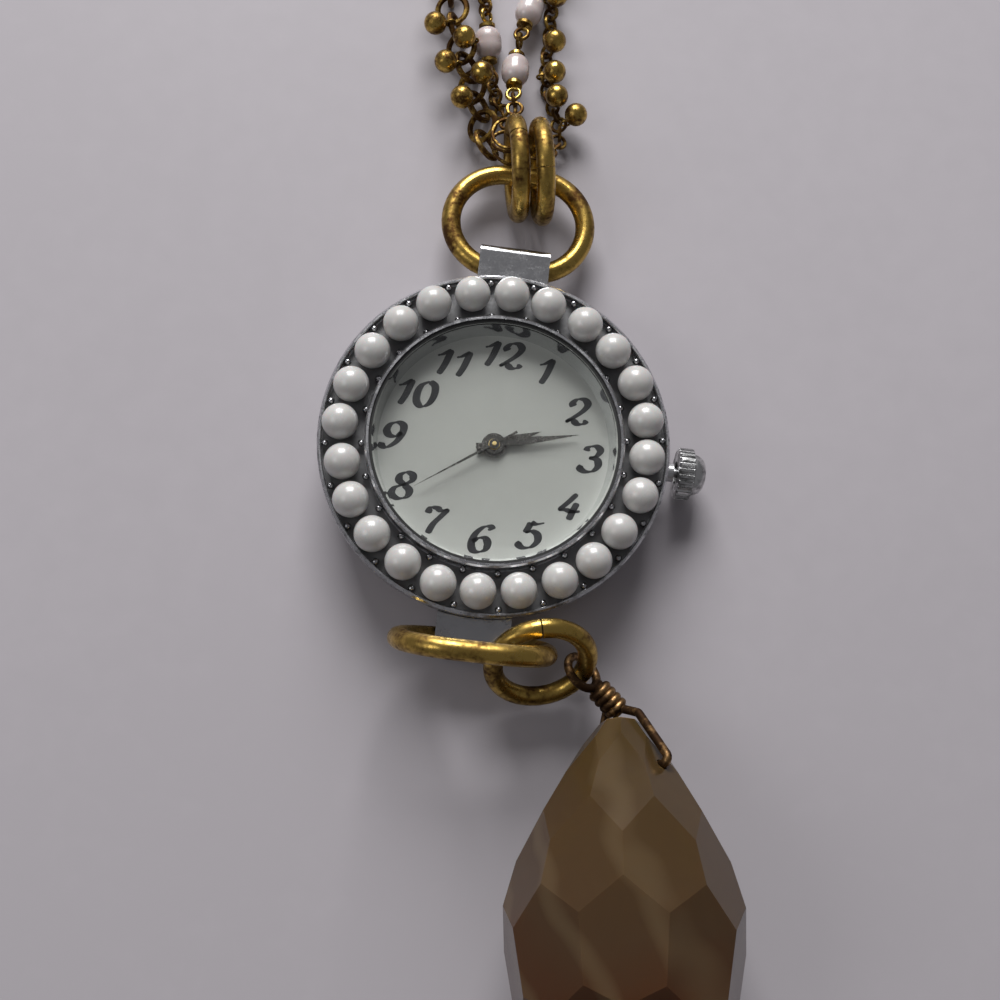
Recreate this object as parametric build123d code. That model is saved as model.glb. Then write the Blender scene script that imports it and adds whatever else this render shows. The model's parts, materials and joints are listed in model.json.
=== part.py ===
from build123d import *
from math import acos, atan2, ceil, copysign, cos, degrees, pi, radians, sin, tan
import os

# Pendant watch with a pearl-set bezel, a four-strand necklace and a faceted stone drop.
# Lengths are millimetres. The origin is the centre of the case back's resting face,
# +Y points to 12 o'clock, +X to the crown and +Z out of the dial.

# Shared clearances
FIT = 0.05                # radial play of a part that sits in a bore
RUNNING = 0.03            # radial play of an arbor in its hole
BEND_SHARE = 0.45         # how much of its shorter run a round bend uses up
RIGHT_ANGLE = 90.0
HALF_TURN_ANGLE = 180.0
FULL_TURN_ANGLE = 360.0
OVERRUN = 1.0             # how far a cutting shape runs past what it cuts

# Quartz movement: all of it but its heights follows this size, and so does the case
MOVEMENT_R = 10.0         # half the plate's diagonal
PLATE_X = 1.52 * MOVEMENT_R
PLATE_Y = 1.30 * MOVEMENT_R
PLATE_ROUND = 0.16 * MOVEMENT_R
BATTERY_R = 0.24 * MOVEMENT_R
BATTERY_SHARES = (-0.472, -0.372)      # places are shares of the movement's radius
CAN_L = 0.40 * MOVEMENT_R
CAN_SHARES = (0.30, 0.50)
BOBBIN_L = 0.42 * MOVEMENT_R
BOBBIN_SHARES = (0.45, -0.50)
SCREW_SHARES = ((-0.502, 0.52), (0.258, -0.403), (0.319, 0.325))
BRIDGE_SHARES = ((-0.220, -0.618), (0.304, -0.618), (0.304, -0.260), (0.380, -0.065),
                 (0.380, 0.429), (-0.076, 0.429), (-0.228, 0.598), (-0.638, 0.598),
                 (-0.638, -0.039), (-0.220, -0.039))
BOARD_SHARES = ((-0.0304, 0.208), (0.669, 0.598))
STATOR_SHARES = ((-0.213, -0.598), (0.654, -0.364))
STEM_START_X = 0.39 * MOVEMENT_R

# Heights of the movement, up from the case back
BACK_T = 0.8
BOARD_GAP = 0.15
BOARD_Z = BACK_T + BOARD_GAP
BOARD_T = 0.2
BRIDGE_GAP = 0.5
BRIDGE_Z = BACK_T + BRIDGE_GAP
BRIDGE_T = 0.45
BRIDGE_TOP_Z = BRIDGE_Z + BRIDGE_T
WHEEL_T = 0.13
PINION_T = 0.2
LAYER_A_Z = BRIDGE_TOP_Z + FIT
LAYER_B_GAP = 0.09        # between the wheels of two layers
LAYER_B_Z = LAYER_A_Z + WHEEL_T + LAYER_B_GAP
LAYER_C_GAP = 0.11
LAYER_C_Z = LAYER_B_Z + WHEEL_T + LAYER_C_GAP
STATOR_RISE = 0.04
STATOR_Z = LAYER_C_Z + STATOR_RISE
STATOR_T = 0.18
PLATE_GAP = 0.16
PLATE_Z = LAYER_C_Z + WHEEL_T + PLATE_GAP
PLATE_T = 0.8
PLATE_TOP_Z = PLATE_Z + PLATE_T
MOTION_GAP = 0.07         # over and under the motion wheels
MOTION_STEP = 0.05        # between them
MOTION_LOW_Z = PLATE_TOP_Z + MOTION_GAP
MOTION_HIGH_Z = MOTION_LOW_Z + WHEEL_T + MOTION_STEP
DIAL_Z = MOTION_HIGH_Z + WHEEL_T + MOTION_GAP
CAN_RISE = 1.0
CAN_Z = BOARD_Z + CAN_RISE
BOBBIN_RISE = 0.2
BOBBIN_Z = BRIDGE_Z + BOBBIN_RISE
STEM_RISE = 0.25
STEM_Z = PLATE_Z + STEM_RISE

# Other sizes of the movement
HOLDER_LEDGE = 0.25
ARBOR_R = 0.12
PIVOT_DEPTH = 0.25
BATTERY_T = 1.6
BATTERY_CAP_STEP = 0.25
CLIP_T = 0.08
CLIP_W = 1.3
CHIP_SIDE = 1.5
CHIP_T = 0.14
CAN_R = 0.55
CAN_BEVEL = 0.14
BOBBIN_R = 0.62
BOBBIN_FLANGE = 0.25
CORE_R = 0.3
STATOR_HOLE_R = 0.9
STATOR_SCREW_GAP = 0.44   # round each bridge screw
MAGNET_R = 0.62
MAGNET_T = 0.24
SCREW_HEAD_R = 0.45
SCREW_HEAD_T = 0.15
SCREW_R = 0.22
SCREW_SLOT = 0.1

# Gears: teeth and module of each wheel, and the directions between their arbors
ROTOR_TEETH = 6
INTERMEDIATE_TEETH = 45
INTERMEDIATE_PINION_TEETH = 10
SECONDS_TEETH = 40
SECONDS_PINION_TEETH = 8
THIRD_TEETH = 60
THIRD_PINION_TEETH = 8
CENTRE_TEETH = 64
CANNON_TEETH = 12
MINUTE_TEETH = 36
MINUTE_PINION_TEETH = 10
HOUR_TEETH = 40
ROTOR_MODULE = 0.008 * MOVEMENT_R
FIRST_MODULE = 0.0124 * MOVEMENT_R
SECOND_MODULE = 0.009 * MOVEMENT_R
CANNON_MODULE = 0.01 * MOVEMENT_R
TIP_SHARE = 0.85          # a tooth's height above the pitch circle, in modules
ROOT_SHARE = 1.15         # its depth below it
TIP_WIDTH_SHARE = 0.13    # half its width at the tip, of one tooth's pitch
ROOT_WIDTH_SHARE = 0.31
THIRD_TURN = 150.0
INTERMEDIATE_TURN = 270.0
ROTOR_TURN = 250.0
MINUTE_TURN = 60.0
SECONDS_ARBOR_R = 0.18
CANNON_R = 0.48
HOUR_TUBE_R = 0.74
DIAL_HOLE_R = 0.82
POST_R = 0.15

# Case and cover, outwards from the movement
HOLDER_WALL = 1.35        # from the plate's corners to the case
CASE_BORE_R = MOVEMENT_R + HOLDER_WALL
SKIRT_T = 0.45
SKIRT_H = 1.1
SKIRT_GAP = 0.2           # between the holder and the skirt
SKIRT_R = CASE_BORE_R + SKIRT_T + SKIRT_GAP
SEAT_W = 0.6              # width of the ledge under the cover's rim
BACK_R = SKIRT_R + SEAT_W
BACK_BEVEL = 0.4
BACK_NOTCH_W = 3.0        # flat where a case knife lifts the cover
GASKET_T = 0.25
FOOT_W = 0.6              # the case's rim round the cover
CASE_FOOT_R = BACK_R + FOOT_W
FLARE = 1.05              # how far the flank spreads above its foot
CASE_R = CASE_FOOT_R + FLARE
CASE_FOOT_Z = 0.35
CASE_FLANK_Z = 2.2        # where the curved flank turns upright

# Dial
DIAL_PLAY = 0.15
DIAL_R = CASE_BORE_R - DIAL_PLAY
DIAL_T = 0.4
DIAL_TOP_Z = DIAL_Z + DIAL_T
DIAL_FOOT_R = 0.3
DIAL_FOOT_INSET = 2.3     # from the dial's edge
DIAL_FOOT_L = 1.2
CASE_LIP_H = 0.2          # the case's top over the dial
CASE_TOP_Z = DIAL_TOP_Z + CASE_LIP_H

# Bezel, its channel and the pearls, inwards from the rim
BEZEL_OVERHANG = 0.45
BEZEL_R = CASE_R + BEZEL_OVERHANG
BEZEL_H = 1.5
BEZEL_TOP_Z = CASE_TOP_Z + BEZEL_H
BEZEL_EDGE = 0.3          # small bevels on the bezel's rims
CHANNEL_FLOOR_T = 0.65
CHANNEL_Z = CASE_TOP_Z + CHANNEL_FLOOR_T
OUTER_RIM_W = 0.35
CHANNEL_R_OUT = BEZEL_R - OUTER_RIM_W
PEARL_R = 1.5
PEARL_GAP = 0.3           # least space between two pearls
PEARL_FLAT = 0.1          # how much is ground off where a pearl is glued down
PEARL_OUTER_PLAY = 0.07
PEARL_INNER_PLAY = 0.49
PEARL_CIRCLE_R = CHANNEL_R_OUT - PEARL_R - PEARL_OUTER_PLAY
PEARL_COUNT = int(2 * pi * PEARL_CIRCLE_R / (2 * PEARL_R + PEARL_GAP))
CHANNEL_R_IN = PEARL_CIRCLE_R - PEARL_R - PEARL_INNER_PLAY
INNER_RIM_H = 2.4
INNER_RIM_TOP_Z = CASE_TOP_Z + INNER_RIM_H
INNER_RIM_BEVEL = 0.14
INNER_RIM_W = 0.34
BEZEL_BORE_R = CHANNEL_R_IN - INNER_RIM_W

# Crystal, its gasket and the flange under it
CRYSTAL_GASKET_W = 0.25
CRYSTAL_GASKET_H = 0.5
CRYSTAL_R = BEZEL_BORE_R - CRYSTAL_GASKET_W
CRYSTAL_RISE = 1.7        # over the case's top
CRYSTAL_Z = CASE_TOP_Z + CRYSTAL_RISE
CRYSTAL_T = 0.6
CRYSTAL_BEVEL = 0.15
FLANGE_W = 0.45
FLANGE_R_IN = CRYSTAL_R - FLANGE_W
FLANGE_SLOPE = 0.35

# Hands: heights, lengths and the time shown
HAND_T = 0.12
HAND_GAP = 0.14           # between two hands
HOUR_HAND_RISE = 0.2      # over the dial
HOUR_HAND_Z = DIAL_TOP_Z + HOUR_HAND_RISE
MINUTE_HAND_Z = HOUR_HAND_Z + HAND_T + HAND_GAP
SECONDS_HAND_Z = MINUTE_HAND_Z + HAND_T + HAND_GAP
SECONDS_TOP_Z = SECONDS_HAND_Z + HAND_T + HAND_GAP
HOUR_HAND_L = 4.2
MINUTE_HAND_L = 7.2
SECONDS_HAND_L = 7.6
HOUR_HAND_W = 0.75
MINUTE_HAND_W = 0.62
SECONDS_HAND_W = 0.2
SECONDS_TAIL_L = 2.2
HAND_TAIL_L = 1.5
HOUR_WIDEST_SHARE = 0.45  # how far along each hand is widest
MINUTE_WIDEST_SHARE = 0.42
SECONDS_WIDEST_SHARE = 0.3
HOUR_TURN = 66.4
MINUTE_TURN_SHOWN = 76.2
SECONDS_TURN = 234.7
HOUR_BOSS_R = 1.05
MINUTE_BOSS_R = 0.8
SECONDS_BOSS_R = 0.42

# Crown, stem and setting lever
STEM_R = 0.4
STEM_GROOVE_IN = 1.6      # from the stem's inner end to its groove
STEM_GROOVE_X = STEM_START_X + STEM_GROOVE_IN
STEM_GROOVE_W = 0.34
STEM_GROOVE_R = 0.22
TUBE_R = 0.8
TUBE_INSET = 0.25
TUBE_START_X = CASE_BORE_R + TUBE_INSET
TUBE_PROUD = 1.25
TUBE_END_X = CASE_R + TUBE_PROUD
CROWN_R = 2.2
CROWN_GAP = 0.25
CROWN_START_X = TUBE_END_X + CROWN_GAP
CROWN_DRUM_L = 1.45
CROWN_CAP_L = 1.0
CROWN_NECK_R = 1.75
CROWN_RECESS_R = 1.0
CROWN_RECESS_L = 0.7
STEM_GRIP = 1.25          # how deep the stem sits in the crown
STEM_END_X = CROWN_START_X + STEM_GRIP
FLUTE_COUNT = 26
FLUTE_R = 0.17
CAP_BULGE_SHARE = 0.78    # how full the cap's dome is
LEVER_T = 0.25
LEVER_W = 1.0
LEVER_L = 1.9
LEVER_DROP = 0.55
LEVER_Z = PLATE_Z - LEVER_DROP
FINGER_W = 0.3

# Tunnel lugs at 12 and 6 o'clock
LUG_W = 6.1
LUG_L = 3.7               # out from the case
LUG_REACH = CASE_R + LUG_L
LUG_BOTTOM_Z = 0.9
LUG_RISE = 0.4
LUG_TOP_Z = CASE_TOP_Z + LUG_RISE
LUG_ROUND = 0.7
RING_AXIS_OUT = 2.05      # from the case to a ring's straight run
RING_AXIS_Y = CASE_R + RING_AXIS_OUT
RING_AXIS_Z = 2.9
TUNNEL_HALF = 1.2
TUNNEL_ROUND = 0.4

# Oval rings in the tunnels
OVAL_WIRE_R = 0.85
OVAL_END_R = 4.6          # radius of the round ends, at the wire's centre
OVAL_RUN = 2.7            # straight run between the round ends
BAIL_TILT = -2.2          # degrees above level, as the ring lies
LOWER_RING_LEAN = 12.4    # degrees from upright, towards 6 o'clock

# Round jump rings
JUMP_R = 3.9
JUMP_WIRE_R = 0.8
JUMP_SPACING = 2.15
JUMP_MID_X = 0.33
JUMP_BACK = 0.3
JUMP_Y = RING_AXIS_Y + 2 * OVAL_END_R - JUMP_BACK
JUMP_YAW = 10.0
JUMP_SPLIT = 0.12         # gap between a jump ring's cut ends
JUMP_SPLIT_TURNS = (160.0, 200.0)      # where the left and the right ring are cut
LINK_RING_OFFSET = (-0.25, -1.45, 2.4) # from the lower ring's right end, in its axis
LINK_RING_AT = (OVAL_RUN / 2 + OVAL_END_R + LINK_RING_OFFSET[0],
                -RING_AXIS_Y + LINK_RING_OFFSET[1], RING_AXIS_Z + LINK_RING_OFFSET[2])
LINK_RING_TILT = -51.6
LINK_RING_LEAN = 12.1
LINK_SPLIT_TURN = 112.0   # where the link ring's cut ends meet

# Faceted drop and its wire
STONE_OFFSET = (7.15, -4.15, -1.6)     # from the link ring's centre to the stone's top
STONE_AT = tuple(a + b for a, b in zip(LINK_RING_AT, STONE_OFFSET))
STONE_RUN = (0.85, -16.7, 5.98)        # which way the stone points
STONE_L = 28.0
STONE_R = 8.9
STONE_SIDES = 9
STONE_LENGTH_SHARES = (0.0, 0.13, 0.27, 0.42, 0.51, 0.60, 0.68, 0.75, 0.86, 0.93, 1.0)
STONE_RADIUS_SHARES = (0.195, 0.473, 0.703, 0.902, 0.972, 0.998, 0.982, 0.94, 0.80, 0.60, 0.32)
FACET_ROW_SHARES = (0.08, 0.27, 0.48, 0.70, 0.89)
DRILL_DEPTH = 4.7         # from the stone's top to the drill hole
DRILL_R = 0.45
DRILL_TURN = 57.0
DROP_WIRE_R = 0.36
DROP_LOOP_R = 1.5
DROP_LOOP_TURN = -5.0     # where on the link ring the wire loop hangs
WRAP_R = 0.7
WRAP_TURNS = 4
NECK_GAP = 1.1            # from the twisted neck's end to the stone's top
SHOULDER_RISE = 0.45      # where each leg bends over the stone's shoulder
SHOULDER_R = 2.1
LEG_REACH = 5.6           # from the stone's middle to the bend outside the drill hole
LEG_BEND_R = 0.45

# Chains: link radius at the wire's centre and wire radius
ROLO_R = 1.38
ROLO_WIRE_R = 0.28
FINE_R = 0.66
FINE_WIRE_R = 0.17
END_LINK_R = 1.5
END_LINK_WIRE_R = 0.16
LINK_PLAY = 0.09          # slack between two links that hang in each other
LINK_ROLL_ANGLE = 45.0    # how far a chain's links lean to each side
EASE_LINKS = 5            # links over which a chain turns from its end link's stance
WIRE_SIDES = 6
CHORD_STEPS = 6           # steps in which a distance along a curve is found

# Small balls and beads on the strands
BALL_R = 1.03
BALL_LOOP_R = 0.42
BALL_LOOP_WIRE_R = 0.11
ROLO_BALL_COUNTS = (2, 3, 4, 5, 6, 8)  # which links carry balls, counted from the jump ring
ROLO_BALL_ANGLES = (30.0, -10.0, 50.0, -40.0, 75.0, 60.0)
FINE_BALL_COUNTS = (3, 5, 8, 11, 16)
FINE_BALL_ANGLES = (35.0, -10.0, -50.0, 0.0, -25.0)
BEAD_R = 1.25
BEAD_L = 3.0
BEAD_HOLE_R = 0.26
BEAD_END_R = 0.5
CAP_R = 0.75
CAP_L = 0.3
PIN_R = 0.18
EYE_R = 0.6
EYE_REACH = 2.68          # from a bead's middle to the middle of its pin's eye

# Where strands leave the jump rings, in degrees from level on the far side
ROLO_HANG = -50.0
LEFT_BEAD_HANG = -26.5
RIGHT_BEAD_HANG = -12.0
FINE_HANG = -38.5
HANG_SHIFT = 0.32         # end links sit this far off the wire, away from the other ring

# Routes of the strands and the neck chain: Y is measured from the jump rings' middle
ROLO_ROUTE = [(-3.4, 3.0, 1.75), (-4.25, 5.6, 1.5), (-5.3, 8.5, 1.35), (-6.4, 11.4, 1.35),
              (-7.5, 14.3, 1.35), (-8.4, 17.2, 1.35), (-8.9, 20.0, 1.45)]
FINE_ROUTE = [(2.8, 4.7, 1.3), (2.7, 6.8, 0.9), (1.6, 9.4, 0.75), (1.0, 12.4, 0.75),
              (1.0, 15.5, 0.75), (0.9, 18.5, 0.75), (1.0, 20.8, 1.0)]
LEFT_BEAD_ROUTE = [(-1.95, 5.8, 1.7), (-3.0, 8.0, 0.8), (-4.1, 11.3, 0.8), (-4.8, 14.4, 1.3),
                   (-5.2, 17.2, 1.3), (-6.2, 20.7, 1.4)]
RIGHT_BEAD_ROUTE = [(-1.5, 6.3, 3.6), (-1.9, 8.7, 3.05), (-2.05, 11.2, 2.55), (-1.75, 14.0, 2.0),
                    (-1.2, 17.0, 1.6), (-0.6, 20.7, 1.4)]
LEFT_BEAD_PLACES = (11.6,)
RIGHT_BEAD_PLACES = (6.6, 14.3)
GATHER_R = 1.9
GATHER_WIRE_R = 0.42
GATHER_LEFT_AT = (-7.8, 24.6, 1.65)
GATHER_RIGHT_AT = (0.6, 25.0, 1.65)
GATHER_TURNS = (242.0, 298.0)
NECK_R = 0.8
COIL_AT = (-4.0, 42.3, 0.85)
COIL_OUTER_R = 13.25
COIL_PITCH = 2.1
COIL_HALF_TURNS = 8       # in each of its two layers
COIL_LAYER_RISE = 2.1
LEAD_DROP = 7.0           # straight run down from each side of the coil
LEAD_START_TURN = 120.0
LEAD_START_Z = 0.9
NEIGHBOUR_RUN = 5.0       # stretches closer than this along the chain are not compared


def polar(radius, turn, z=0):
    """A point at a radius and an angle in degrees, anticlockwise from +X."""
    return (radius * cos(radians(turn)), radius * sin(radians(turn)), z)


def turned(points):
    """A solid of revolution about Z from an outline of (radius, height) points."""
    return revolve(make_face(Polyline([(r, 0, z) for r, z in points], close=True)), Axis.Z)


def ring_solid(r_in, r_out, z_low, z_high):
    """A plain ring about Z."""
    return turned([(r_in, z_low), (r_out, z_low), (r_out, z_high), (r_in, z_high)])


def disc(radius, z_low, z_high, at=(0, 0)):
    """A plain upright disc or rod."""
    return Pos(at[0], at[1], (z_low + z_high) / 2) * Cylinder(radius, z_high - z_low)


def block(x_low, x_high, y_low, y_high, z_low, z_high):
    """A box from its two corners."""
    middle = ((x_low + x_high) / 2, (y_low + y_high) / 2, (z_low + z_high) / 2)
    return Pos(*middle) * Box(x_high - x_low, y_high - y_low, z_high - z_low)


def rod_x(radius, x_low, x_high, y=0, z=0):
    """A rod along X."""
    rod = Rot(0, RIGHT_ANGLE, 0) * Cylinder(radius, x_high - x_low)
    return Pos((x_low + x_high) / 2, y, z) * rod


def plate(points, z_low, z_high):
    """A flat plate from an outline of (x, y) points."""
    face = make_face(Polyline([(x, y, z_low) for x, y in points], close=True))
    return extrude(face, z_high - z_low, dir=(0, 0, 1))


def joined(pieces):
    """Separate solids kept together in one node."""
    return Compound(children=list(pieces))


def gear(module, teeth, z_low, z_high, at=(0, 0), turn=0.0, bore=0.0):
    """A spur gear with straight-sided teeth; turn puts a tooth at that angle in degrees."""
    tip_r = module * (teeth / 2 + TIP_SHARE)
    root_r = module * (teeth / 2 - ROOT_SHARE)
    step = FULL_TURN_ANGLE / teeth
    points = []
    for n in range(teeth):
        middle = turn + n * step
        for radius, share in ((root_r, -ROOT_WIDTH_SHARE), (tip_r, -TIP_WIDTH_SHARE),
                              (tip_r, TIP_WIDTH_SHARE), (root_r, ROOT_WIDTH_SHARE)):
            x, y, _ = polar(radius, middle + share * step)
            points.append((at[0] + x, at[1] + y))
    wheel = plate(points, z_low, z_high)
    if bore:
        wheel -= disc(bore, z_low - OVERRUN, z_high + OVERRUN, at)
    return wheel


def oval_ring():
    """An oval wire ring in the XY plane; its near straight run lies on the X axis."""
    half = OVAL_RUN / 2
    path = Wire([
        Edge.make_line((-half, 0, 0), (half, 0, 0)),
        Edge.make_three_point_arc((half, 0, 0), (half + OVAL_END_R, OVAL_END_R, 0),
                                  (half, 2 * OVAL_END_R, 0)),
        Edge.make_line((half, 2 * OVAL_END_R, 0), (-half, 2 * OVAL_END_R, 0)),
        Edge.make_three_point_arc((-half, 2 * OVAL_END_R, 0), (-half - OVAL_END_R, OVAL_END_R, 0),
                                  (-half, 0, 0)),
    ])
    section = Plane(origin=(-half, 0, 0), z_dir=(1, 0, 0)) * Circle(OVAL_WIRE_R)
    return sweep(section, path)


def frame_of(at, normal, x_dir=None):
    """A plane at a point with a normal, for placing a piece made about the origin."""
    return Plane(origin=at, x_dir=x_dir, z_dir=normal)


# Where the moving pieces turn
def on_ring(centre, normal, radius, turn):
    """The point, and the wire's direction there, on a round ring about its normal."""
    level = Vector(0, 1, 0).cross(Vector(*normal)).normalized()
    rise = Vector(*normal).cross(level).normalized()
    a = radians(turn)
    point = Vector(*centre) + level * (radius * cos(a)) + rise * (radius * sin(a))
    along = rise * cos(a) - level * sin(a)
    return point, along


LINK_NORMAL = Vector(sin(radians(LINK_RING_LEAN)), sin(radians(LINK_RING_TILT)),
                     cos(radians(LINK_RING_TILT))).normalized()
JUMP_NORMAL = Vector(cos(radians(JUMP_YAW)), sin(radians(JUMP_YAW)), 0)
JUMP_Z = JUMP_R + JUMP_WIRE_R
THIRD_DISTANCE = SECOND_MODULE * (SECONDS_PINION_TEETH + THIRD_TEETH) / 2
THIRD_MODULE = 2 * THIRD_DISTANCE / (THIRD_PINION_TEETH + CENTRE_TEETH)
INTERMEDIATE_DISTANCE = FIRST_MODULE * (INTERMEDIATE_PINION_TEETH + SECONDS_TEETH) / 2
ROTOR_DISTANCE = ROTOR_MODULE * (ROTOR_TEETH + INTERMEDIATE_TEETH) / 2
MINUTE_DISTANCE = CANNON_MODULE * (CANNON_TEETH + MINUTE_TEETH) / 2
HOUR_MODULE = 2 * MINUTE_DISTANCE / (MINUTE_PINION_TEETH + HOUR_TEETH)
THIRD_AT = polar(THIRD_DISTANCE, THIRD_TURN)
INTERMEDIATE_AT = polar(INTERMEDIATE_DISTANCE, INTERMEDIATE_TURN)
MINUTE_AT = polar(MINUTE_DISTANCE, MINUTE_TURN)
ROTOR_AT = tuple(a + b for a, b in zip(INTERMEDIATE_AT, polar(ROTOR_DISTANCE, ROTOR_TURN)))


def mesh_turn(own_teeth, towards, other_teeth, other_turn):
    """The turn that puts a gap of one gear opposite a tooth of its mate along a direction."""
    other_step, own_step = FULL_TURN_ANGLE / other_teeth, FULL_TURN_ANGLE / own_teeth
    past = (towards + HALF_TURN_ANGLE - other_turn) / other_step % 1
    return towards + own_step / 2 + past * own_step


# Case
def lug_block(side):
    """The outside of one tunnel lug; side is +1 at 12 o'clock and -1 at 6 o'clock."""
    inner = CASE_R - OVERRUN
    lug = block(-LUG_W / 2, LUG_W / 2, inner, LUG_REACH, LUG_BOTTOM_Z, LUG_TOP_Z)
    outer = lug.edges().filter_by(Axis.X).group_by(Axis.Y)[-1]
    lug = fillet(outer, LUG_ROUND)
    return lug if side > 0 else mirror(lug, Plane.XZ)


def tunnel(side):
    """The open way for a ring through one lug."""
    hole = Box(LUG_W + 2 * OVERRUN, 2 * TUNNEL_HALF, 2 * TUNNEL_HALF)
    hole = fillet(hole.edges().filter_by(Axis.X), TUNNEL_ROUND)
    return Pos(0, side * RING_AXIS_Y, RING_AXIS_Z) * hole


def case_body():
    """The mid-case with both tunnel lugs, open for the movement and the crown tube."""
    seat_z = BACK_T + GASKET_T
    flank = Wire([
        Edge.make_line((CASE_BORE_R - OVERRUN, 0, CASE_FOOT_Z), (CASE_FOOT_R, 0, CASE_FOOT_Z)),
        Edge.make_three_point_arc(
            (CASE_FOOT_R, 0, CASE_FOOT_Z),
            ((CASE_FOOT_R + CASE_R * 2) / 3, 0, (CASE_FOOT_Z * 2 + CASE_FLANK_Z) / 3),
            (CASE_R, 0, CASE_FLANK_Z)),
        Edge.make_line((CASE_R, 0, CASE_FLANK_Z), (CASE_R, 0, CASE_TOP_Z)),
        Edge.make_line((CASE_R, 0, CASE_TOP_Z), (CASE_BORE_R - OVERRUN, 0, CASE_TOP_Z)),
        Edge.make_line((CASE_BORE_R - OVERRUN, 0, CASE_TOP_Z),
                       (CASE_BORE_R - OVERRUN, 0, CASE_FOOT_Z)),
    ])
    body = revolve(Face(flank), Axis.Z)
    for side in (1, -1):
        body += lug_block(side)
        body -= tunnel(side)
    body -= disc(BEZEL_R + FIT, CASE_TOP_Z, LUG_TOP_Z + OVERRUN)
    body -= disc(CASE_BORE_R, 0, CASE_TOP_Z + OVERRUN)
    body -= disc(SKIRT_R + FIT, 0, seat_z + SKIRT_H)
    body -= disc(BACK_R + FIT, 0, seat_z)
    body -= rod_x(TUBE_R, 0, CASE_R + OVERRUN, z=STEM_Z)
    return body


def case_back():
    """The snap-on cover with its skirt and the notch for a case knife."""
    cover = turned([(0, 0), (BACK_R - BACK_BEVEL, 0), (BACK_R, BACK_BEVEL), (BACK_R, BACK_T),
                    (SKIRT_R, BACK_T), (SKIRT_R, BACK_T + SKIRT_H),
                    (SKIRT_R - SKIRT_T, BACK_T + SKIRT_H), (SKIRT_R - SKIRT_T, BACK_T),
                    (0, BACK_T)])
    notch = block(-BACK_NOTCH_W / 2, BACK_NOTCH_W / 2, -BACK_R - OVERRUN,
                  -BACK_R + BACK_BEVEL, 0, BACK_BEVEL)
    return cover - notch


def back_gasket():
    """The flat seal between the cover's rim and its seat."""
    return ring_solid(SKIRT_R + FIT, BACK_R - FIT, BACK_T, BACK_T + GASKET_T)


def crown_tube():
    """The tube pressed into the case wall, which guides the stem."""
    tube = rod_x(TUBE_R, TUBE_START_X, TUBE_END_X, z=STEM_Z)
    return tube - rod_x(STEM_R + RUNNING, 0, TUBE_END_X + OVERRUN, z=STEM_Z)


# Bezel and glass
def bezel_ring():
    """The bezel with the channel that the pearls are set in."""
    edge = BEZEL_EDGE / 2
    return turned([
        (BEZEL_BORE_R, CASE_TOP_Z), (BEZEL_R - BEZEL_EDGE, CASE_TOP_Z),
        (BEZEL_R, CASE_TOP_Z + BEZEL_EDGE), (BEZEL_R, BEZEL_TOP_Z - edge),
        (BEZEL_R - edge, BEZEL_TOP_Z), (CHANNEL_R_OUT + edge / 2, BEZEL_TOP_Z),
        (CHANNEL_R_OUT, BEZEL_TOP_Z - edge / 2), (CHANNEL_R_OUT, CHANNEL_Z),
        (CHANNEL_R_IN, CHANNEL_Z), (CHANNEL_R_IN, INNER_RIM_TOP_Z - INNER_RIM_BEVEL),
        (CHANNEL_R_IN - INNER_RIM_BEVEL, INNER_RIM_TOP_Z), (BEZEL_BORE_R, INNER_RIM_TOP_Z)])


def pearls():
    """The pearls, each ground flat where it is glued into the channel."""
    z = CHANNEL_Z - PEARL_FLAT + PEARL_R
    pearl = Sphere(PEARL_R) - block(-PEARL_R, PEARL_R, -PEARL_R, PEARL_R,
                                    -PEARL_R - OVERRUN, PEARL_FLAT - PEARL_R)
    step = FULL_TURN_ANGLE / PEARL_COUNT
    return joined(Pos(*polar(PEARL_CIRCLE_R, RIGHT_ANGLE - n * step, z)) * pearl
                  for n in range(PEARL_COUNT))


def crystal():
    """The flat glass with a bevelled edge."""
    top = CRYSTAL_Z + CRYSTAL_T
    return turned([(0, CRYSTAL_Z), (CRYSTAL_R, CRYSTAL_Z), (CRYSTAL_R, top - CRYSTAL_BEVEL),
                   (CRYSTAL_R - CRYSTAL_BEVEL, top), (0, top)])


def crystal_gasket():
    """The seal pressed between glass and bezel."""
    return ring_solid(CRYSTAL_R, BEZEL_BORE_R, CRYSTAL_Z, CRYSTAL_Z + CRYSTAL_GASKET_H)


def flange_ring():
    """The polished ring between dial and glass, sloping in towards the dial."""
    outer = BEZEL_BORE_R - FIT
    return turned([(FLANGE_R_IN, DIAL_TOP_Z), (outer, DIAL_TOP_Z), (outer, CRYSTAL_Z),
                   (FLANGE_R_IN + FLANGE_SLOPE, CRYSTAL_Z)])


# Dial and hands
def dial():
    """The dial plate with its two feet."""
    face = disc(DIAL_R, DIAL_Z, DIAL_TOP_Z)
    face -= disc(DIAL_HOLE_R, DIAL_Z - OVERRUN, DIAL_TOP_Z + OVERRUN)
    for side in (1, -1):
        face += disc(DIAL_FOOT_R, DIAL_Z - DIAL_FOOT_L, DIAL_Z,
                     (0, side * (DIAL_R - DIAL_FOOT_INSET)))
    return face


def hand(length, width, tail, boss_r, hole_r, z, turn, widest_share):
    """A hand pointing at a clock angle in degrees, widest part way along."""
    half = width / 2
    outline = [(0, length), (half, length * widest_share), (half / 2, 0), (half, -tail),
               (-half, -tail), (-half / 2, 0), (-half, length * widest_share)]
    blade = plate(outline, z, z + HAND_T) + disc(boss_r, z, z + HAND_T)
    blade -= disc(hole_r, z - OVERRUN, z + HAND_T + OVERRUN)
    return Rot(0, 0, -turn) * blade


def hour_hand():
    """The short hand on the hour wheel's tube."""
    return hand(HOUR_HAND_L, HOUR_HAND_W, HAND_TAIL_L, HOUR_BOSS_R, HOUR_TUBE_R, HOUR_HAND_Z,
                HOUR_TURN, HOUR_WIDEST_SHARE)


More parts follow.
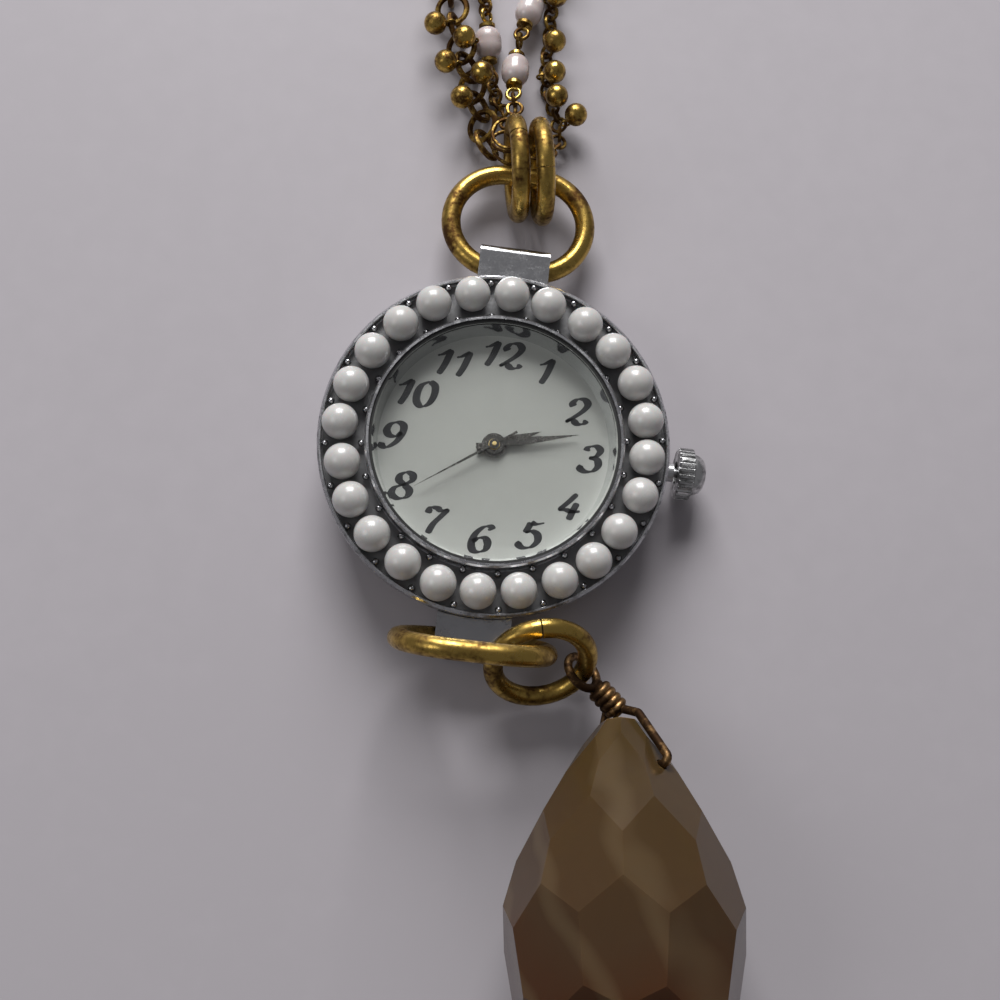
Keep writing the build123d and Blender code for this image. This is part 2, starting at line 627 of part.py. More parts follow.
def minute_hand():
    """The long hand on the cannon pinion."""
    return hand(MINUTE_HAND_L, MINUTE_HAND_W, HAND_TAIL_L, MINUTE_BOSS_R, CANNON_R,
                MINUTE_HAND_Z, MINUTE_TURN_SHOWN, MINUTE_WIDEST_SHARE)


def seconds_hand():
    """The thin hand on the seconds arbor."""
    return hand(SECONDS_HAND_L, SECONDS_HAND_W, SECONDS_TAIL_L, SECONDS_BOSS_R,
                SECONDS_ARBOR_R, SECONDS_HAND_Z, SECONDS_TURN, SECONDS_WIDEST_SHARE)


# Movement
def rounded_plate(x_size, y_size, corner, z_low, z_high):
    """A plate with rounded corners about the centre."""
    sketch = Pos(0, 0, z_low) * RectangleRounded(x_size, y_size, corner)
    return extrude(sketch, z_high - z_low, dir=(0, 0, 1))


def movement_holder():
    """The plastic ring that centres the movement and carries the dial."""
    holder = disc(CASE_BORE_R - FIT, BACK_T, DIAL_Z)
    ledge = HOLDER_LEDGE
    holder -= rounded_plate(PLATE_X - 2 * ledge, PLATE_Y - 2 * ledge, PLATE_ROUND - ledge,
                            BACK_T - OVERRUN, PLATE_Z)
    holder -= rounded_plate(PLATE_X + 2 * FIT, PLATE_Y + 2 * FIT, PLATE_ROUND + FIT, PLATE_Z,
                            DIAL_Z + OVERRUN)
    holder -= rod_x(STEM_R + 2 * FIT, 0, CASE_BORE_R + OVERRUN, z=STEM_Z)
    for side in (1, -1):
        holder -= disc(DIAL_FOOT_R + FIT, DIAL_Z - DIAL_FOOT_L - FIT, DIAL_Z + OVERRUN,
                       (0, side * (DIAL_R - DIAL_FOOT_INSET)))
    return holder


def arbor_places():
    """Where train arbors are pivoted in both plate and bridge."""
    return [THIRD_AT, INTERMEDIATE_AT, ROTOR_AT]


def in_movement(shares):
    """A place in the movement from its shares of the movement's radius."""
    return tuple(share * MOVEMENT_R for share in shares)


def bridge_screw_places():
    """Where the bridge is screwed to the plate's pillars."""
    return [in_movement(shares) for shares in SCREW_SHARES]


def main_plate():
    """The plate that carries the train, with pillars for the bridge and the stem's slot."""
    body = rounded_plate(PLATE_X, PLATE_Y, PLATE_ROUND, PLATE_Z, PLATE_TOP_Z)
    for x, y in bridge_screw_places():
        body += disc(2 * SCREW_R, BRIDGE_TOP_Z, PLATE_Z, (x, y))
        body -= disc(SCREW_R, BRIDGE_TOP_Z - OVERRUN, PLATE_Z + SCREW_R, (x, y))
    body -= disc(CANNON_R + RUNNING, PLATE_Z - OVERRUN, PLATE_TOP_Z + OVERRUN)
    for at in arbor_places():
        body -= disc(ARBOR_R + RUNNING, PLATE_Z - OVERRUN, PLATE_Z + PIVOT_DEPTH + RUNNING, at)
    slot_half = STEM_R + FINGER_W + 2 * FIT
    body -= block(STEM_START_X - FIT, PLATE_X, -slot_half, slot_half, PLATE_Z - OVERRUN,
                  PLATE_TOP_Z + OVERRUN)
    body += disc(POST_R, PLATE_TOP_Z, MOTION_HIGH_Z + WHEEL_T, MINUTE_AT)
    return body


def train_bridge():
    """The bridge over the wheels, shaped round the battery and the coil."""
    points = [in_movement(shares) for shares in BRIDGE_SHARES]
    body = plate(points, BRIDGE_Z, BRIDGE_TOP_Z)
    body -= disc(SECONDS_ARBOR_R + RUNNING, BRIDGE_TOP_Z - PIVOT_DEPTH - RUNNING,
                 BRIDGE_TOP_Z + OVERRUN)
    for at in arbor_places():
        body -= disc(ARBOR_R + RUNNING, BRIDGE_TOP_Z - PIVOT_DEPTH - RUNNING,
                     BRIDGE_TOP_Z + OVERRUN, at)
    for x, y in bridge_screw_places():
        body -= disc(SCREW_R, BRIDGE_Z - OVERRUN, BRIDGE_TOP_Z + OVERRUN, (x, y))
    half = BOBBIN_L / 2 + 2 * BOBBIN_FLANGE + FIT
    x, y = in_movement(BOBBIN_SHARES)
    body -= block(x - half, x + half, y - BOBBIN_R - FIT, y + BOBBIN_R + FIT,
                  BRIDGE_Z - OVERRUN, BRIDGE_TOP_Z + OVERRUN)
    return body


def bridge_screws():
    """The slotted screws that hold the bridge."""
    screws = []
    for x, y in bridge_screw_places():
        screw = disc(SCREW_R, BRIDGE_Z, PLATE_Z + SCREW_R, (x, y))
        screw += disc(SCREW_HEAD_R, BRIDGE_Z - SCREW_HEAD_T, BRIDGE_Z, (x, y))
        screw -= block(x - SCREW_HEAD_R, x + SCREW_HEAD_R, y - SCREW_SLOT / 2, y + SCREW_SLOT / 2,
                       BRIDGE_Z - SCREW_HEAD_T, BRIDGE_Z - SCREW_HEAD_T / 2)
        screws.append(screw)
    return joined(screws)


def battery_cell():
    """The button cell, with its smaller negative cap towards the plate."""
    low, at = BOARD_Z, in_movement(BATTERY_SHARES)
    cell = disc(BATTERY_R, low, low + BATTERY_T - BATTERY_CAP_STEP, at)
    return cell + disc(BATTERY_R - 2 * BATTERY_CAP_STEP, low, low + BATTERY_T, at)


def battery_clip():
    """The spring strap over the cell's back face."""
    x, y = in_movement(BATTERY_SHARES)
    reach = BATTERY_R + CLIP_W / 2
    strap = block(x - CLIP_W / 2, x + CLIP_W / 2, y - BATTERY_R / 2, y + reach,
                  BOARD_Z - CLIP_T, BOARD_Z)
    leg = block(x - CLIP_W / 2, x + CLIP_W / 2, y + reach - CLIP_T, y + reach, BOARD_Z,
                BRIDGE_Z)
    return strap + leg


def circuit_board():
    """The board that drives the coil, with its chip."""
    (x_low, y_low), (x_high, y_high) = (in_movement(shares) for shares in BOARD_SHARES)
    board = block(x_low, x_high, y_low, y_high, BOARD_Z, BOARD_Z + BOARD_T)
    chip_x = x_low + CHIP_SIDE
    chip_y = y_low + CHIP_SIDE
    chip = block(chip_x - CHIP_SIDE / 2, chip_x + CHIP_SIDE / 2, chip_y - CHIP_SIDE / 2,
                 chip_y + CHIP_SIDE / 2, BOARD_Z - CHIP_T, BOARD_Z)
    return board + chip


def quartz_can():
    """The small metal tube that holds the crystal oscillator."""
    x, y = in_movement(CAN_SHARES)
    can = rod_x(CAN_R, x - CAN_L / 2, x + CAN_L / 2, y, CAN_Z)
    return chamfer(can.edges().filter_by(GeomType.CIRCLE), CAN_BEVEL)


def motor_coil():
    """The wound bobbin on its core."""
    x, y = in_movement(BOBBIN_SHARES)
    z = BOBBIN_Z
    half = BOBBIN_L / 2
    coil = rod_x(BOBBIN_R, x - half, x + half, y, z)
    for side in (1, -1):
        near, far = x + side * half, x + side * (half + BOBBIN_FLANGE)
        coil += block(min(near, far), max(near, far), y - BOBBIN_R, y + BOBBIN_R, z - BOBBIN_R,
                      z + BOBBIN_R)
    core = half + 2 * BOBBIN_FLANGE
    return coil + rod_x(CORE_R, x - core, x + core, y, z)


def stator_plate():
    """The soft iron plate that the rotor's magnet turns in."""
    (x_low, y_low), (x_high, y_high) = (in_movement(shares) for shares in STATOR_SHARES)
    body = block(x_low, x_high, y_low, y_high, STATOR_Z, STATOR_Z + STATOR_T)
    body -= disc(STATOR_HOLE_R, STATOR_Z - OVERRUN, STATOR_Z + OVERRUN, ROTOR_AT)
    for x, y in bridge_screw_places():
        body -= disc(SCREW_R + STATOR_SCREW_GAP, STATOR_Z - OVERRUN, STATOR_Z + OVERRUN, (x, y))
    return body


# Gear train
def rotor_turn():
    """How the rotor's pinion stands so that it meshes with the intermediate wheel."""
    return mesh_turn(ROTOR_TEETH, ROTOR_TURN + HALF_TURN_ANGLE, INTERMEDIATE_TEETH, intermediate_turn())


def intermediate_turn():
    """The intermediate wheel stands in mesh with the seconds wheel through its pinion."""
    return mesh_turn(INTERMEDIATE_PINION_TEETH, INTERMEDIATE_TURN + HALF_TURN_ANGLE, SECONDS_TEETH, 0)


def third_turn():
    """The third wheel stands in mesh with the seconds pinion."""
    return mesh_turn(THIRD_TEETH, THIRD_TURN + HALF_TURN_ANGLE, SECONDS_PINION_TEETH, 0)


def arbor(at, low=None, high=None):
    """A pivoted arbor between bridge and plate."""
    return disc(ARBOR_R, BRIDGE_TOP_Z - PIVOT_DEPTH if low is None else low,
                PLATE_Z + PIVOT_DEPTH if high is None else high, at)


def rotor():
    """The motor's magnet and pinion on one arbor."""
    body = arbor(ROTOR_AT) + disc(MAGNET_R, LAYER_C_Z, LAYER_C_Z + MAGNET_T, ROTOR_AT)
    return body + gear(ROTOR_MODULE, ROTOR_TEETH, LAYER_B_Z - FIT, LAYER_B_Z + PINION_T, ROTOR_AT,
                       rotor_turn())


def intermediate_wheel():
    """The wheel driven by the rotor, with the pinion that drives the seconds wheel."""
    at, turn = INTERMEDIATE_AT, intermediate_turn()
    body = arbor(at) + gear(ROTOR_MODULE, INTERMEDIATE_TEETH, LAYER_B_Z, LAYER_B_Z + WHEEL_T, at,
                            turn)
    return body + gear(FIRST_MODULE, INTERMEDIATE_PINION_TEETH, LAYER_A_Z, LAYER_B_Z, at, turn)


def seconds_wheel():
    """The seconds wheel and pinion on the long arbor that carries the thin hand."""
    body = disc(SECONDS_ARBOR_R, BRIDGE_TOP_Z - PIVOT_DEPTH, SECONDS_TOP_Z)
    body += gear(FIRST_MODULE, SECONDS_TEETH, LAYER_A_Z, LAYER_A_Z + WHEEL_T)
    return body + gear(SECOND_MODULE, SECONDS_PINION_TEETH, LAYER_A_Z + WHEEL_T,
                       LAYER_A_Z + WHEEL_T + PINION_T)


def third_wheel():
    """The third wheel with its pinion."""
    at, turn = THIRD_AT, third_turn()
    body = arbor(at) + gear(SECOND_MODULE, THIRD_TEETH, LAYER_B_Z, LAYER_B_Z + WHEEL_T, at, turn)
    return body + gear(THIRD_MODULE, THIRD_PINION_TEETH, LAYER_B_Z + WHEEL_T,
                       LAYER_C_Z + WHEEL_T + FIT, at, turn)


def centre_wheel():
    """The centre wheel with the cannon pinion that carries the long hand."""
    turn = mesh_turn(CENTRE_TEETH, THIRD_TURN, THIRD_PINION_TEETH, third_turn())
    body = disc(CANNON_R, LAYER_C_Z, MINUTE_HAND_Z + HAND_T + FIT)
    body += gear(THIRD_MODULE, CENTRE_TEETH, LAYER_C_Z, LAYER_C_Z + WHEEL_T, turn=turn)
    body += gear(CANNON_MODULE, CANNON_TEETH, MOTION_LOW_Z, MOTION_LOW_Z + WHEEL_T)
    return body - disc(SECONDS_ARBOR_R + RUNNING, LAYER_C_Z - OVERRUN, SECONDS_TOP_Z)


def minute_wheel():
    """The motion wheel that turns the hour wheel, on its post."""
    turn = mesh_turn(MINUTE_TEETH, MINUTE_TURN + HALF_TURN_ANGLE, CANNON_TEETH, 0)
    body = gear(CANNON_MODULE, MINUTE_TEETH, MOTION_LOW_Z, MOTION_LOW_Z + WHEEL_T, MINUTE_AT, turn)
    body += gear(HOUR_MODULE, MINUTE_PINION_TEETH, MOTION_LOW_Z + WHEEL_T, MOTION_HIGH_Z + WHEEL_T,
                 MINUTE_AT, turn)
    return body - disc(POST_R + RUNNING, MOTION_LOW_Z - OVERRUN, MOTION_HIGH_Z + OVERRUN,
                       MINUTE_AT)


def hour_wheel():
    """The hour wheel with the tube that carries the short hand."""
    minute_turn = mesh_turn(MINUTE_TEETH, MINUTE_TURN + HALF_TURN_ANGLE, CANNON_TEETH, 0)
    turn = mesh_turn(HOUR_TEETH, MINUTE_TURN, MINUTE_PINION_TEETH, minute_turn)
    body = gear(HOUR_MODULE, HOUR_TEETH, MOTION_HIGH_Z, MOTION_HIGH_Z + WHEEL_T, turn=turn)
    body += disc(HOUR_TUBE_R, MOTION_HIGH_Z, HOUR_HAND_Z + HAND_T + FIT)
    return body - disc(CANNON_R + RUNNING, MOTION_HIGH_Z - OVERRUN, SECONDS_TOP_Z)


# Crown and setting
def winding_stem():
    """The stem, with the groove that the setting lever's finger sits in."""
    stem = rod_x(STEM_R, STEM_START_X, STEM_END_X, z=STEM_Z)
    half = STEM_GROOVE_W / 2
    groove = rod_x(STEM_R + FIT, STEM_GROOVE_X - half, STEM_GROOVE_X + half, z=STEM_Z)
    groove -= rod_x(STEM_GROOVE_R, STEM_GROOVE_X - half, STEM_GROOVE_X + half, z=STEM_Z)
    return stem - groove


def setting_lever():
    """The lever under the plate that slides with the stem."""
    half = STEM_GROOVE_W / 2 - RUNNING
    lever = block(STEM_GROOVE_X - LEVER_W / 2, STEM_GROOVE_X + LEVER_W / 2, STEM_GROOVE_R,
                  LEVER_L, LEVER_Z, LEVER_Z + LEVER_T)
    inner = STEM_GROOVE_R + RUNNING
    return lever + block(STEM_GROOVE_X - half, STEM_GROOVE_X + half, inner, inner + FINGER_W,
                         LEVER_Z, STEM_Z + STEM_GROOVE_R)


def crown():
    """The fluted crown with its domed cap."""
    drum, end = CROWN_DRUM_L, CROWN_DRUM_L + CROWN_CAP_L
    profile = Wire([
        Edge.make_line((STEM_R, 0, 0), (CROWN_R - FLUTE_R, 0, 0)),
        Edge.make_line((CROWN_R - FLUTE_R, 0, 0), (CROWN_R, 0, FLUTE_R)),
        Edge.make_line((CROWN_R, 0, FLUTE_R), (CROWN_R, 0, drum - FLUTE_R)),
        Edge.make_line((CROWN_R, 0, drum - FLUTE_R), (CROWN_NECK_R, 0, drum)),
        Edge.make_three_point_arc(
            (CROWN_NECK_R, 0, drum),
            (CROWN_NECK_R * CAP_BULGE_SHARE, 0, drum + CROWN_CAP_L * CAP_BULGE_SHARE),
            (STEM_R, 0, end)),
        Edge.make_line((STEM_R, 0, end), (STEM_R, 0, 0)),
    ])
    body = revolve(Face(profile), Axis.Z)
    body += disc(STEM_R, drum, end)
    body -= disc(CROWN_RECESS_R, -OVERRUN, CROWN_RECESS_L)
    body -= disc(STEM_R, -OVERRUN, STEM_END_X - CROWN_START_X)
    for n in range(FLUTE_COUNT):
        x, y, _ = polar(CROWN_R, FULL_TURN_ANGLE * n / FLUTE_COUNT)
        body -= disc(FLUTE_R, -OVERRUN, end + OVERRUN, (x, y))
    return Pos(CROWN_START_X, 0, STEM_Z) * Rot(0, RIGHT_ANGLE, 0) * body


# Rings
def bail_ring():
    """The oval ring through the upper lug."""
    return Pos(0, RING_AXIS_Y, RING_AXIS_Z) * Rot(BAIL_TILT, 0, 0) * oval_ring()


def lower_ring():
    """The oval ring through the lower lug, standing up."""
    return Pos(0, -RING_AXIS_Y, RING_AXIS_Z) * Rot(RIGHT_ANGLE + LOWER_RING_LEAN, 0, 0) * oval_ring()


def jump_ring(centre, normal, split_turn):
    """A round wire ring with its cut at an angle round it."""
    point, along = on_ring(centre, normal, JUMP_R, split_turn)
    place = frame_of(centre, normal)
    ring = place * Torus(JUMP_R, JUMP_WIRE_R)
    side = 2 * JUMP_WIRE_R + OVERRUN
    gap = frame_of(point, along) * Box(side, side, JUMP_SPLIT)
    return ring - gap


def upper_jump_ring(side):
    """One of the two jump rings that the strands hang on."""
    centre = (JUMP_MID_X + side * JUMP_SPACING / 2, JUMP_Y, JUMP_Z)
    return jump_ring(centre, JUMP_NORMAL, JUMP_SPLIT_TURNS[side > 0])


def link_ring():
    """The jump ring that joins the lower ring to the drop's wire."""
    return jump_ring(LINK_RING_AT, LINK_NORMAL, LINK_SPLIT_TURN)


# Stone drop
def stone_axis():
    """The direction from the stone's top to its belly."""
    return Vector(*STONE_RUN).normalized()


def stone_radius(share):
    """The stone's radius at a share of its length, and the profile's slope there."""
    rows = list(zip(STONE_LENGTH_SHARES, STONE_RADIUS_SHARES))
    for (s0, r0), (s1, r1) in zip(rows, rows[1:]):
        if share <= s1:
            part = (share - s0) / (s1 - s0)
            slope = (r1 - r0) * STONE_R / ((s1 - s0) * STONE_L)
            return STONE_R * (r0 + (r1 - r0) * part), slope
    return STONE_R * STONE_RADIUS_SHARES[-1], 0


def stone_blank():
    """The faceted teardrop about the Z axis with its top at the origin."""
    body = disc(2 * STONE_R, 0, STONE_L)
    for row, share in enumerate(FACET_ROW_SHARES):
        radius, slope = stone_radius(share)
        radius *= cos(pi / STONE_SIDES) ** 0.5
        for n in range(STONE_SIDES):
            turn = FULL_TURN_ANGLE * (n + row % 2 / 2) / STONE_SIDES
            normal = Vector(*polar(1, turn, -slope)).normalized()
            cut = Plane(origin=polar(radius, turn, share * STONE_L), z_dir=normal)
            body = split(body, bisect_by=cut, keep=Keep.BOTTOM)
    return body


def stone_frame():
    """The stone's place: Z runs from its top to its belly."""
    return Plane(origin=STONE_AT, x_dir=Vector(1, 0, 0), z_dir=stone_axis())


def agate_drop():
    """The drilled, faceted stone."""
    drill = Rot(0, 0, DRILL_TURN) * rod_x(DRILL_R, -STONE_L, STONE_L)
    return stone_frame() * (stone_blank() - Pos(0, 0, DRILL_DEPTH) * drill)


def round_bends(points, bend_r=None):
    """Straight runs and tangent arcs; each arc is as wide as its runs allow unless given."""
    points = [Vector(*p) for p in points]
    radii = []
    for before, corner, after in zip(points, points[1:], points[2:]):
        turn = (corner - before).get_angle(after - corner)
        run = min((corner - before).length, (after - corner).length)
        radii.append(bend_r or BEND_SHARE * run / tan(radians(turn) / 2))
    return FilletPolyline(*points, radius=radii)


def swept(path, radius, sides=0):
    """Wire of a round or many-sided section along a path."""
    section = Plane(origin=path @ 0, z_dir=path % 0) * (
        RegularPolygon(radius, sides) if sides else Circle(radius))
    return sweep(section, path)


def loop_stance():
    """The wire loop's centre and normal, the neck's direction and where the neck ends."""
    centre, along = on_ring(LINK_RING_AT, LINK_NORMAL, JUMP_R, DROP_LOOP_TURN)
    end = Vector(*STONE_AT) - stone_axis() * NECK_GAP
    neck = (end - centre).normalized()
    normal = (along - neck * along.dot(neck)).normalized()
    return centre, normal, neck, end


def leg_point(depth, radius):
    """A point in the plane of the drill hole, by depth below the stone's top and radius."""
    x, y, _ = polar(radius, DRILL_TURN)
    return stone_frame().from_local_coords(Vector(x, y, depth))


def drop_wire():
    """The loop on the link ring, its wrapped neck and the legs that meet in the stone."""
    centre, normal, neck, end = loop_stance()
    wire = Plane(origin=centre, z_dir=normal) * Torus(DROP_LOOP_R, DROP_WIRE_R)
    start = centre + neck * DROP_LOOP_R
    length = (end - start).length
    wire += Plane(origin=start + neck * length / 2, z_dir=neck) * Cylinder(WRAP_R, length)
    for n in range(WRAP_TURNS):
        at = start + neck * (length * (n + 1) / (WRAP_TURNS + 1))
        wire += Plane(origin=at, z_dir=neck) * Torus(WRAP_R, DROP_WIRE_R)
    legs = [end - neck * WRAP_R, leg_point(-SHOULDER_RISE, SHOULDER_R),
            leg_point(DRILL_DEPTH, LEG_REACH), leg_point(DRILL_DEPTH, -LEG_REACH),
            leg_point(-SHOULDER_RISE, -SHOULDER_R), end - neck * WRAP_R * 2]
    return wire + swept(round_bends(legs, LEG_BEND_R), DROP_WIRE_R)


# Necklace
def hang_point(side, hang):
    """The middle of an end link on a jump ring's far side, and its normal."""
    x = JUMP_MID_X + side * JUMP_SPACING / 2
    yaw = radians(JUMP_YAW)
    level = Vector(-sin(yaw), cos(yaw), 0)
    up = Vector(0, 0, 1)
    a = radians(hang)
    point = Vector(x, JUMP_Y, JUMP_Z) + (level * cos(a) + up * sin(a)) * JUMP_R
    normal = up * cos(a) - level * sin(a)
    return point + JUMP_NORMAL * (side * HANG_SHIFT), normal


def beyond_rings(point):
    """A point of the necklace from its Y distance beyond the jump rings' middle."""
    return Vector(*point) + Vector(0, JUMP_Y, 0)


def gather_point(at, turn):
    """The middle of an end link on a gather ring, and its normal."""
    return (beyond_rings(at) + Vector(*polar(GATHER_R, turn)),
            Vector(*polar(1, turn + RIGHT_ANGLE)))


def strand_line(side, hang, route, gather_at, gather_turn):
    """The smooth line of one strand from its jump ring to its gather ring."""
    start, _ = hang_point(side, hang)
    end, _ = gather_point(gather_at, gather_turn)
    return Spline(start, *[beyond_rings(p) for p in route], end)


def a_chord_on(line, distance, chord):
    """The distance along a line of the point that is a chord from another; minus is back."""
    here = line @ (distance / line.length)
    there = distance + chord
    for _ in range(CHORD_STEPS):
        reached = (line @ (there / line.length) - here).length
        there += copysign(abs(chord) - reached, chord)
    return there


def wire_link(radius, wire_r):
    """One round link of six-sided wire about the Z axis."""
    section = Plane.XZ * Pos(radius, 0) * RegularPolygon(wire_r, WIRE_SIDES)
    return revolve(section, Axis.Z)


def stance(line, distance, roll):
    """A plane on a line: its X runs along the line and its normal is turned by roll."""
    share = distance / line.length
    at, along = line @ share, (line % share).normalized()
    side = along.cross(Vector(0, 0, 1)).normalized()
    up = side.cross(along)
    a = radians(roll)
    return Plane(origin=at, x_dir=along, z_dir=up * cos(a) + side * sin(a))


def roll_across(line, distance, normal):
    """The roll at which a link's plane crosses the plane with this normal squarely."""
    place = stance(line, distance, 0)
    side = place.x_dir.cross(place.z_dir)
    return degrees(atan2(-normal.dot(side), normal.dot(place.z_dir))) + RIGHT_ANGLE


def nearest_roll(turn):
    """The same stance of a flat link as this turn, between minus and plus a right angle."""
    return (turn + RIGHT_ANGLE) % (2 * RIGHT_ANGLE) - RIGHT_ANGLE


def link_rolls(count, first, last):
    """How each link of a chain is rolled, easing from the first stance to the last."""
    base = [-LINK_ROLL_ANGLE if n % 2 else LINK_ROLL_ANGLE for n in range(count)]
    early, late = nearest_roll(first - base[0]), nearest_roll(last - base[-1])
    return [roll + early * max(0, 1 - n / EASE_LINKS)
            + late * max(0, 1 - (count - 1 - n) / EASE_LINKS)
            for n, roll in enumerate(base)]


def spread(first, last, longest):
    """Distances of links from the first to the last, no step longer than the longest."""
    steps = ceil((last - first) / longest)
    return [first] + [first + (last - first) * (n + 1) / steps for n in range(steps)]


def chain_places(line, hook, stations):
    """Distances of a strand's links and near eyes as (distance, is_eye), and of both eyes of beads."""
    end_step = END_LINK_R - END_LINK_WIRE_R + hook - LINK_PLAY
    eye_step = EYE_R - PIN_R + hook - LINK_PLAY
    pitch = 2 * hook - LINK_PLAY
    places, eyes = [], []
    first = a_chord_on(line, 0, end_step)
    for station in stations:
        last = first + round((station - EYE_REACH - eye_step - first) / pitch) * pitch
        places += [(distance, False) for distance in spread(first, last, 2 * hook)]
        near = a_chord_on(line, last, eye_step)
        far = a_chord_on(line, near, 2 * EYE_REACH)
        places.append((near, True))
        eyes.append((near, far))
        first = a_chord_on(line, far, eye_step)
    last = a_chord_on(line, line.length, -end_step)
    places += [(distance, False) for distance in spread(first, last, 2 * hook)]
    return places, eyes


def facing(at, normal, other):
    """The normal of a link at a point, turned as little as lets its plane hold another point."""
    way = (other - at).normalized()
    return (normal - way * normal.dot(way)).normalized()


def strand_plan(name, hook, stations=()):
    """The stances of a strand's links, of its beads and of its two end links."""
    side, hang, _, gather_at, gather_turn = STRANDS[name]
    line = strand_line(*STRANDS[name])
    places, eyes = chain_places(line, hook, stations)
    ends = []
    for (at, normal), (distance, _) in ((hang_point(side, hang), places[0]),
                                        (gather_point(gather_at, gather_turn), places[-1])):
        turned_normal = facing(at, normal, line @ (distance / line.length))
        ends.append(Plane(origin=at, z_dir=turned_normal))
    rolls = link_rolls(len(places), roll_across(line, places[0][0], ends[0].z_dir),
                       roll_across(line, places[-1][0], ends[1].z_dir))
    links = [stance(line, d, roll) for (d, is_eye), roll in zip(places, rolls) if not is_eye]
    eye_rolls = [roll for (_, is_eye), roll in zip(places, rolls) if is_eye]
    beads = [bead_stance(line, *pair, roll) for pair, roll in zip(eyes, eye_rolls)]
    return links, beads, ends


def bead_stance(line, near, far, roll):
    """A bead's plane, which lies along the straight line between its pin's two eyes."""
    here, there = line @ (near / line.length), line @ (far / line.length)
    across = stance(line, (near + far) / 2, roll).z_dir
    return Plane(origin=(here + there) / 2, x_dir=there - here, z_dir=across)


STRANDS = {
    "rolo": (-1, ROLO_HANG, ROLO_ROUTE, GATHER_LEFT_AT, GATHER_TURNS[0]),
    "left_beads": (-1, LEFT_BEAD_HANG, LEFT_BEAD_ROUTE, GATHER_LEFT_AT, GATHER_TURNS[1]),
    "right_beads": (-1, RIGHT_BEAD_HANG, RIGHT_BEAD_ROUTE, GATHER_RIGHT_AT, GATHER_TURNS[0]),
    "fine": (1, FINE_HANG, FINE_ROUTE, GATHER_RIGHT_AT, GATHER_TURNS[1]),
}


def chain_links(name, link_r, wire_r, stations=()):
    """One strand's links with the thin links that hold it at its two rings."""
    link, end_link = wire_link(link_r, wire_r), wire_link(END_LINK_R, END_LINK_WIRE_R)
    links, _, ends = strand_plan(name, link_r - wire_r, stations)
    return joined([place * link for place in links] + [place * end_link for place in ends])


def balls_on(name, link_r, wire_r, counts, angles):
    """Small balls, each on a little loop round one side of a link."""
    links, _, _ = strand_plan(name, link_r - wire_r)
    balls = []
    for number, lean in zip(counts, angles):
        place = links[number]
        out = place.y_dir if place.y_dir.Z > 0 else -place.y_dir
        side = place.x_dir.cross(Vector(0, 0, 1)).normalized()
        away = side if out.dot(side) > 0 else -side
        at = place.origin + out * link_r
        a = radians(lean)
        way = Vector(0, 0, 1) * cos(a) + away * sin(a)
        way = (way - place.x_dir * way.dot(place.x_dir)).normalized()
        middle = at + way * (BALL_LOOP_R + BALL_R)
        ball = Plane(origin=middle, z_dir=place.x_dir) * Sphere(BALL_R)
        loop = Plane(origin=at, z_dir=place.x_dir) * Torus(BALL_LOOP_R, BALL_LOOP_WIRE_R)
        balls.append(ball + loop)
    return joined(balls)


def bead():
    """One pierced bead about Z: a short barrel with round shoulders, flat where it is pierced."""
    half = BEAD_L / 2
    turn = degrees(acos(BEAD_END_R / BEAD_R))
    low = half - BEAD_R * sin(radians(turn))
    x, y, _ = polar(BEAD_R, turn / 2)
    profile = Wire([
        Edge.make_line((BEAD_R, 0, -low), (BEAD_R, 0, low)),
        Edge.make_three_point_arc((BEAD_R, 0, low), (x, 0, low + y), (BEAD_END_R, 0, half)),
        Edge.make_line((BEAD_END_R, 0, half), (BEAD_HOLE_R, 0, half)),
        Edge.make_line((BEAD_HOLE_R, 0, half), (BEAD_HOLE_R, 0, -half)),
        Edge.make_line((BEAD_HOLE_R, 0, -half), (BEAD_END_R, 0, -half)),
        Edge.make_three_point_arc((BEAD_END_R, 0, -half), (x, 0, -low - y), (BEAD_R, 0, -low)),
    ])
    return revolve(Face(profile), Axis.Z)


def bead_pin(place):
    """A pin with an eye at each end and a small cap at each side of its bead."""
    across = place * Rot(0, RIGHT_ANGLE, 0)
    pin = across * Cylinder(PIN_R, 2 * (EYE_REACH - EYE_R))
    for sign in (1, -1):
        pin += across * Pos(0, 0, sign * (BEAD_L + CAP_L) / 2) * Cylinder(CAP_R, CAP_L)
        pin += place * Pos(sign * EYE_REACH, 0, 0) * Torus(EYE_R, PIN_R)
    return pin


def each_bead():
    """The stances of every bead on both beaded strands."""
    hook = FINE_R - FINE_WIRE_R
    return (strand_plan("left_beads", hook, LEFT_BEAD_PLACES)[1]
            + strand_plan("right_beads", hook, RIGHT_BEAD_PLACES)[1])


def strand_beads():
    """The pierced beads."""
    return joined(place * Rot(0, RIGHT_ANGLE, 0) * bead() for place in each_bead())


def bead_pins():
    """The pins that hold the beads in their strands."""
    return joined(bead_pin(place) for place in each_bead())


def gather_rings():
    """The round rings that join the strands to the neck chain."""
    return {name: Pos(*beyond_rings(at)) * Torus(GATHER_R, GATHER_WIRE_R)
            for name, at in (("gather_ring_left", GATHER_LEFT_AT),
                             ("gather_ring_right", GATHER_RIGHT_AT))}


# Neck chain
def coil_arcs():
    """The coil's half turns as (start, middle, end) points, in the order they are wound."""
    middle = beyond_rings(COIL_AT)
    radii = [COIL_OUTER_R - n * COIL_PITCH / 2 for n in range(COIL_HALF_TURNS)]
    inner = radii[-1] - COIL_PITCH / 2
    here = middle - Vector(COIL_OUTER_R, 0, 0)
    arcs = []
    for n, radius in enumerate(radii + [inner] + radii[::-1]):
        over = -1 if n % 2 else 1
        rise = COIL_LAYER_RISE if n == COIL_HALF_TURNS else 0
        there = here + Vector(over * 2 * radius, 0, rise)
        crest = (here + there) / 2 + Vector(0, over * (there - here).length / 2, 0)
        arcs.append((here, crest, there))
        here = there
    return arcs


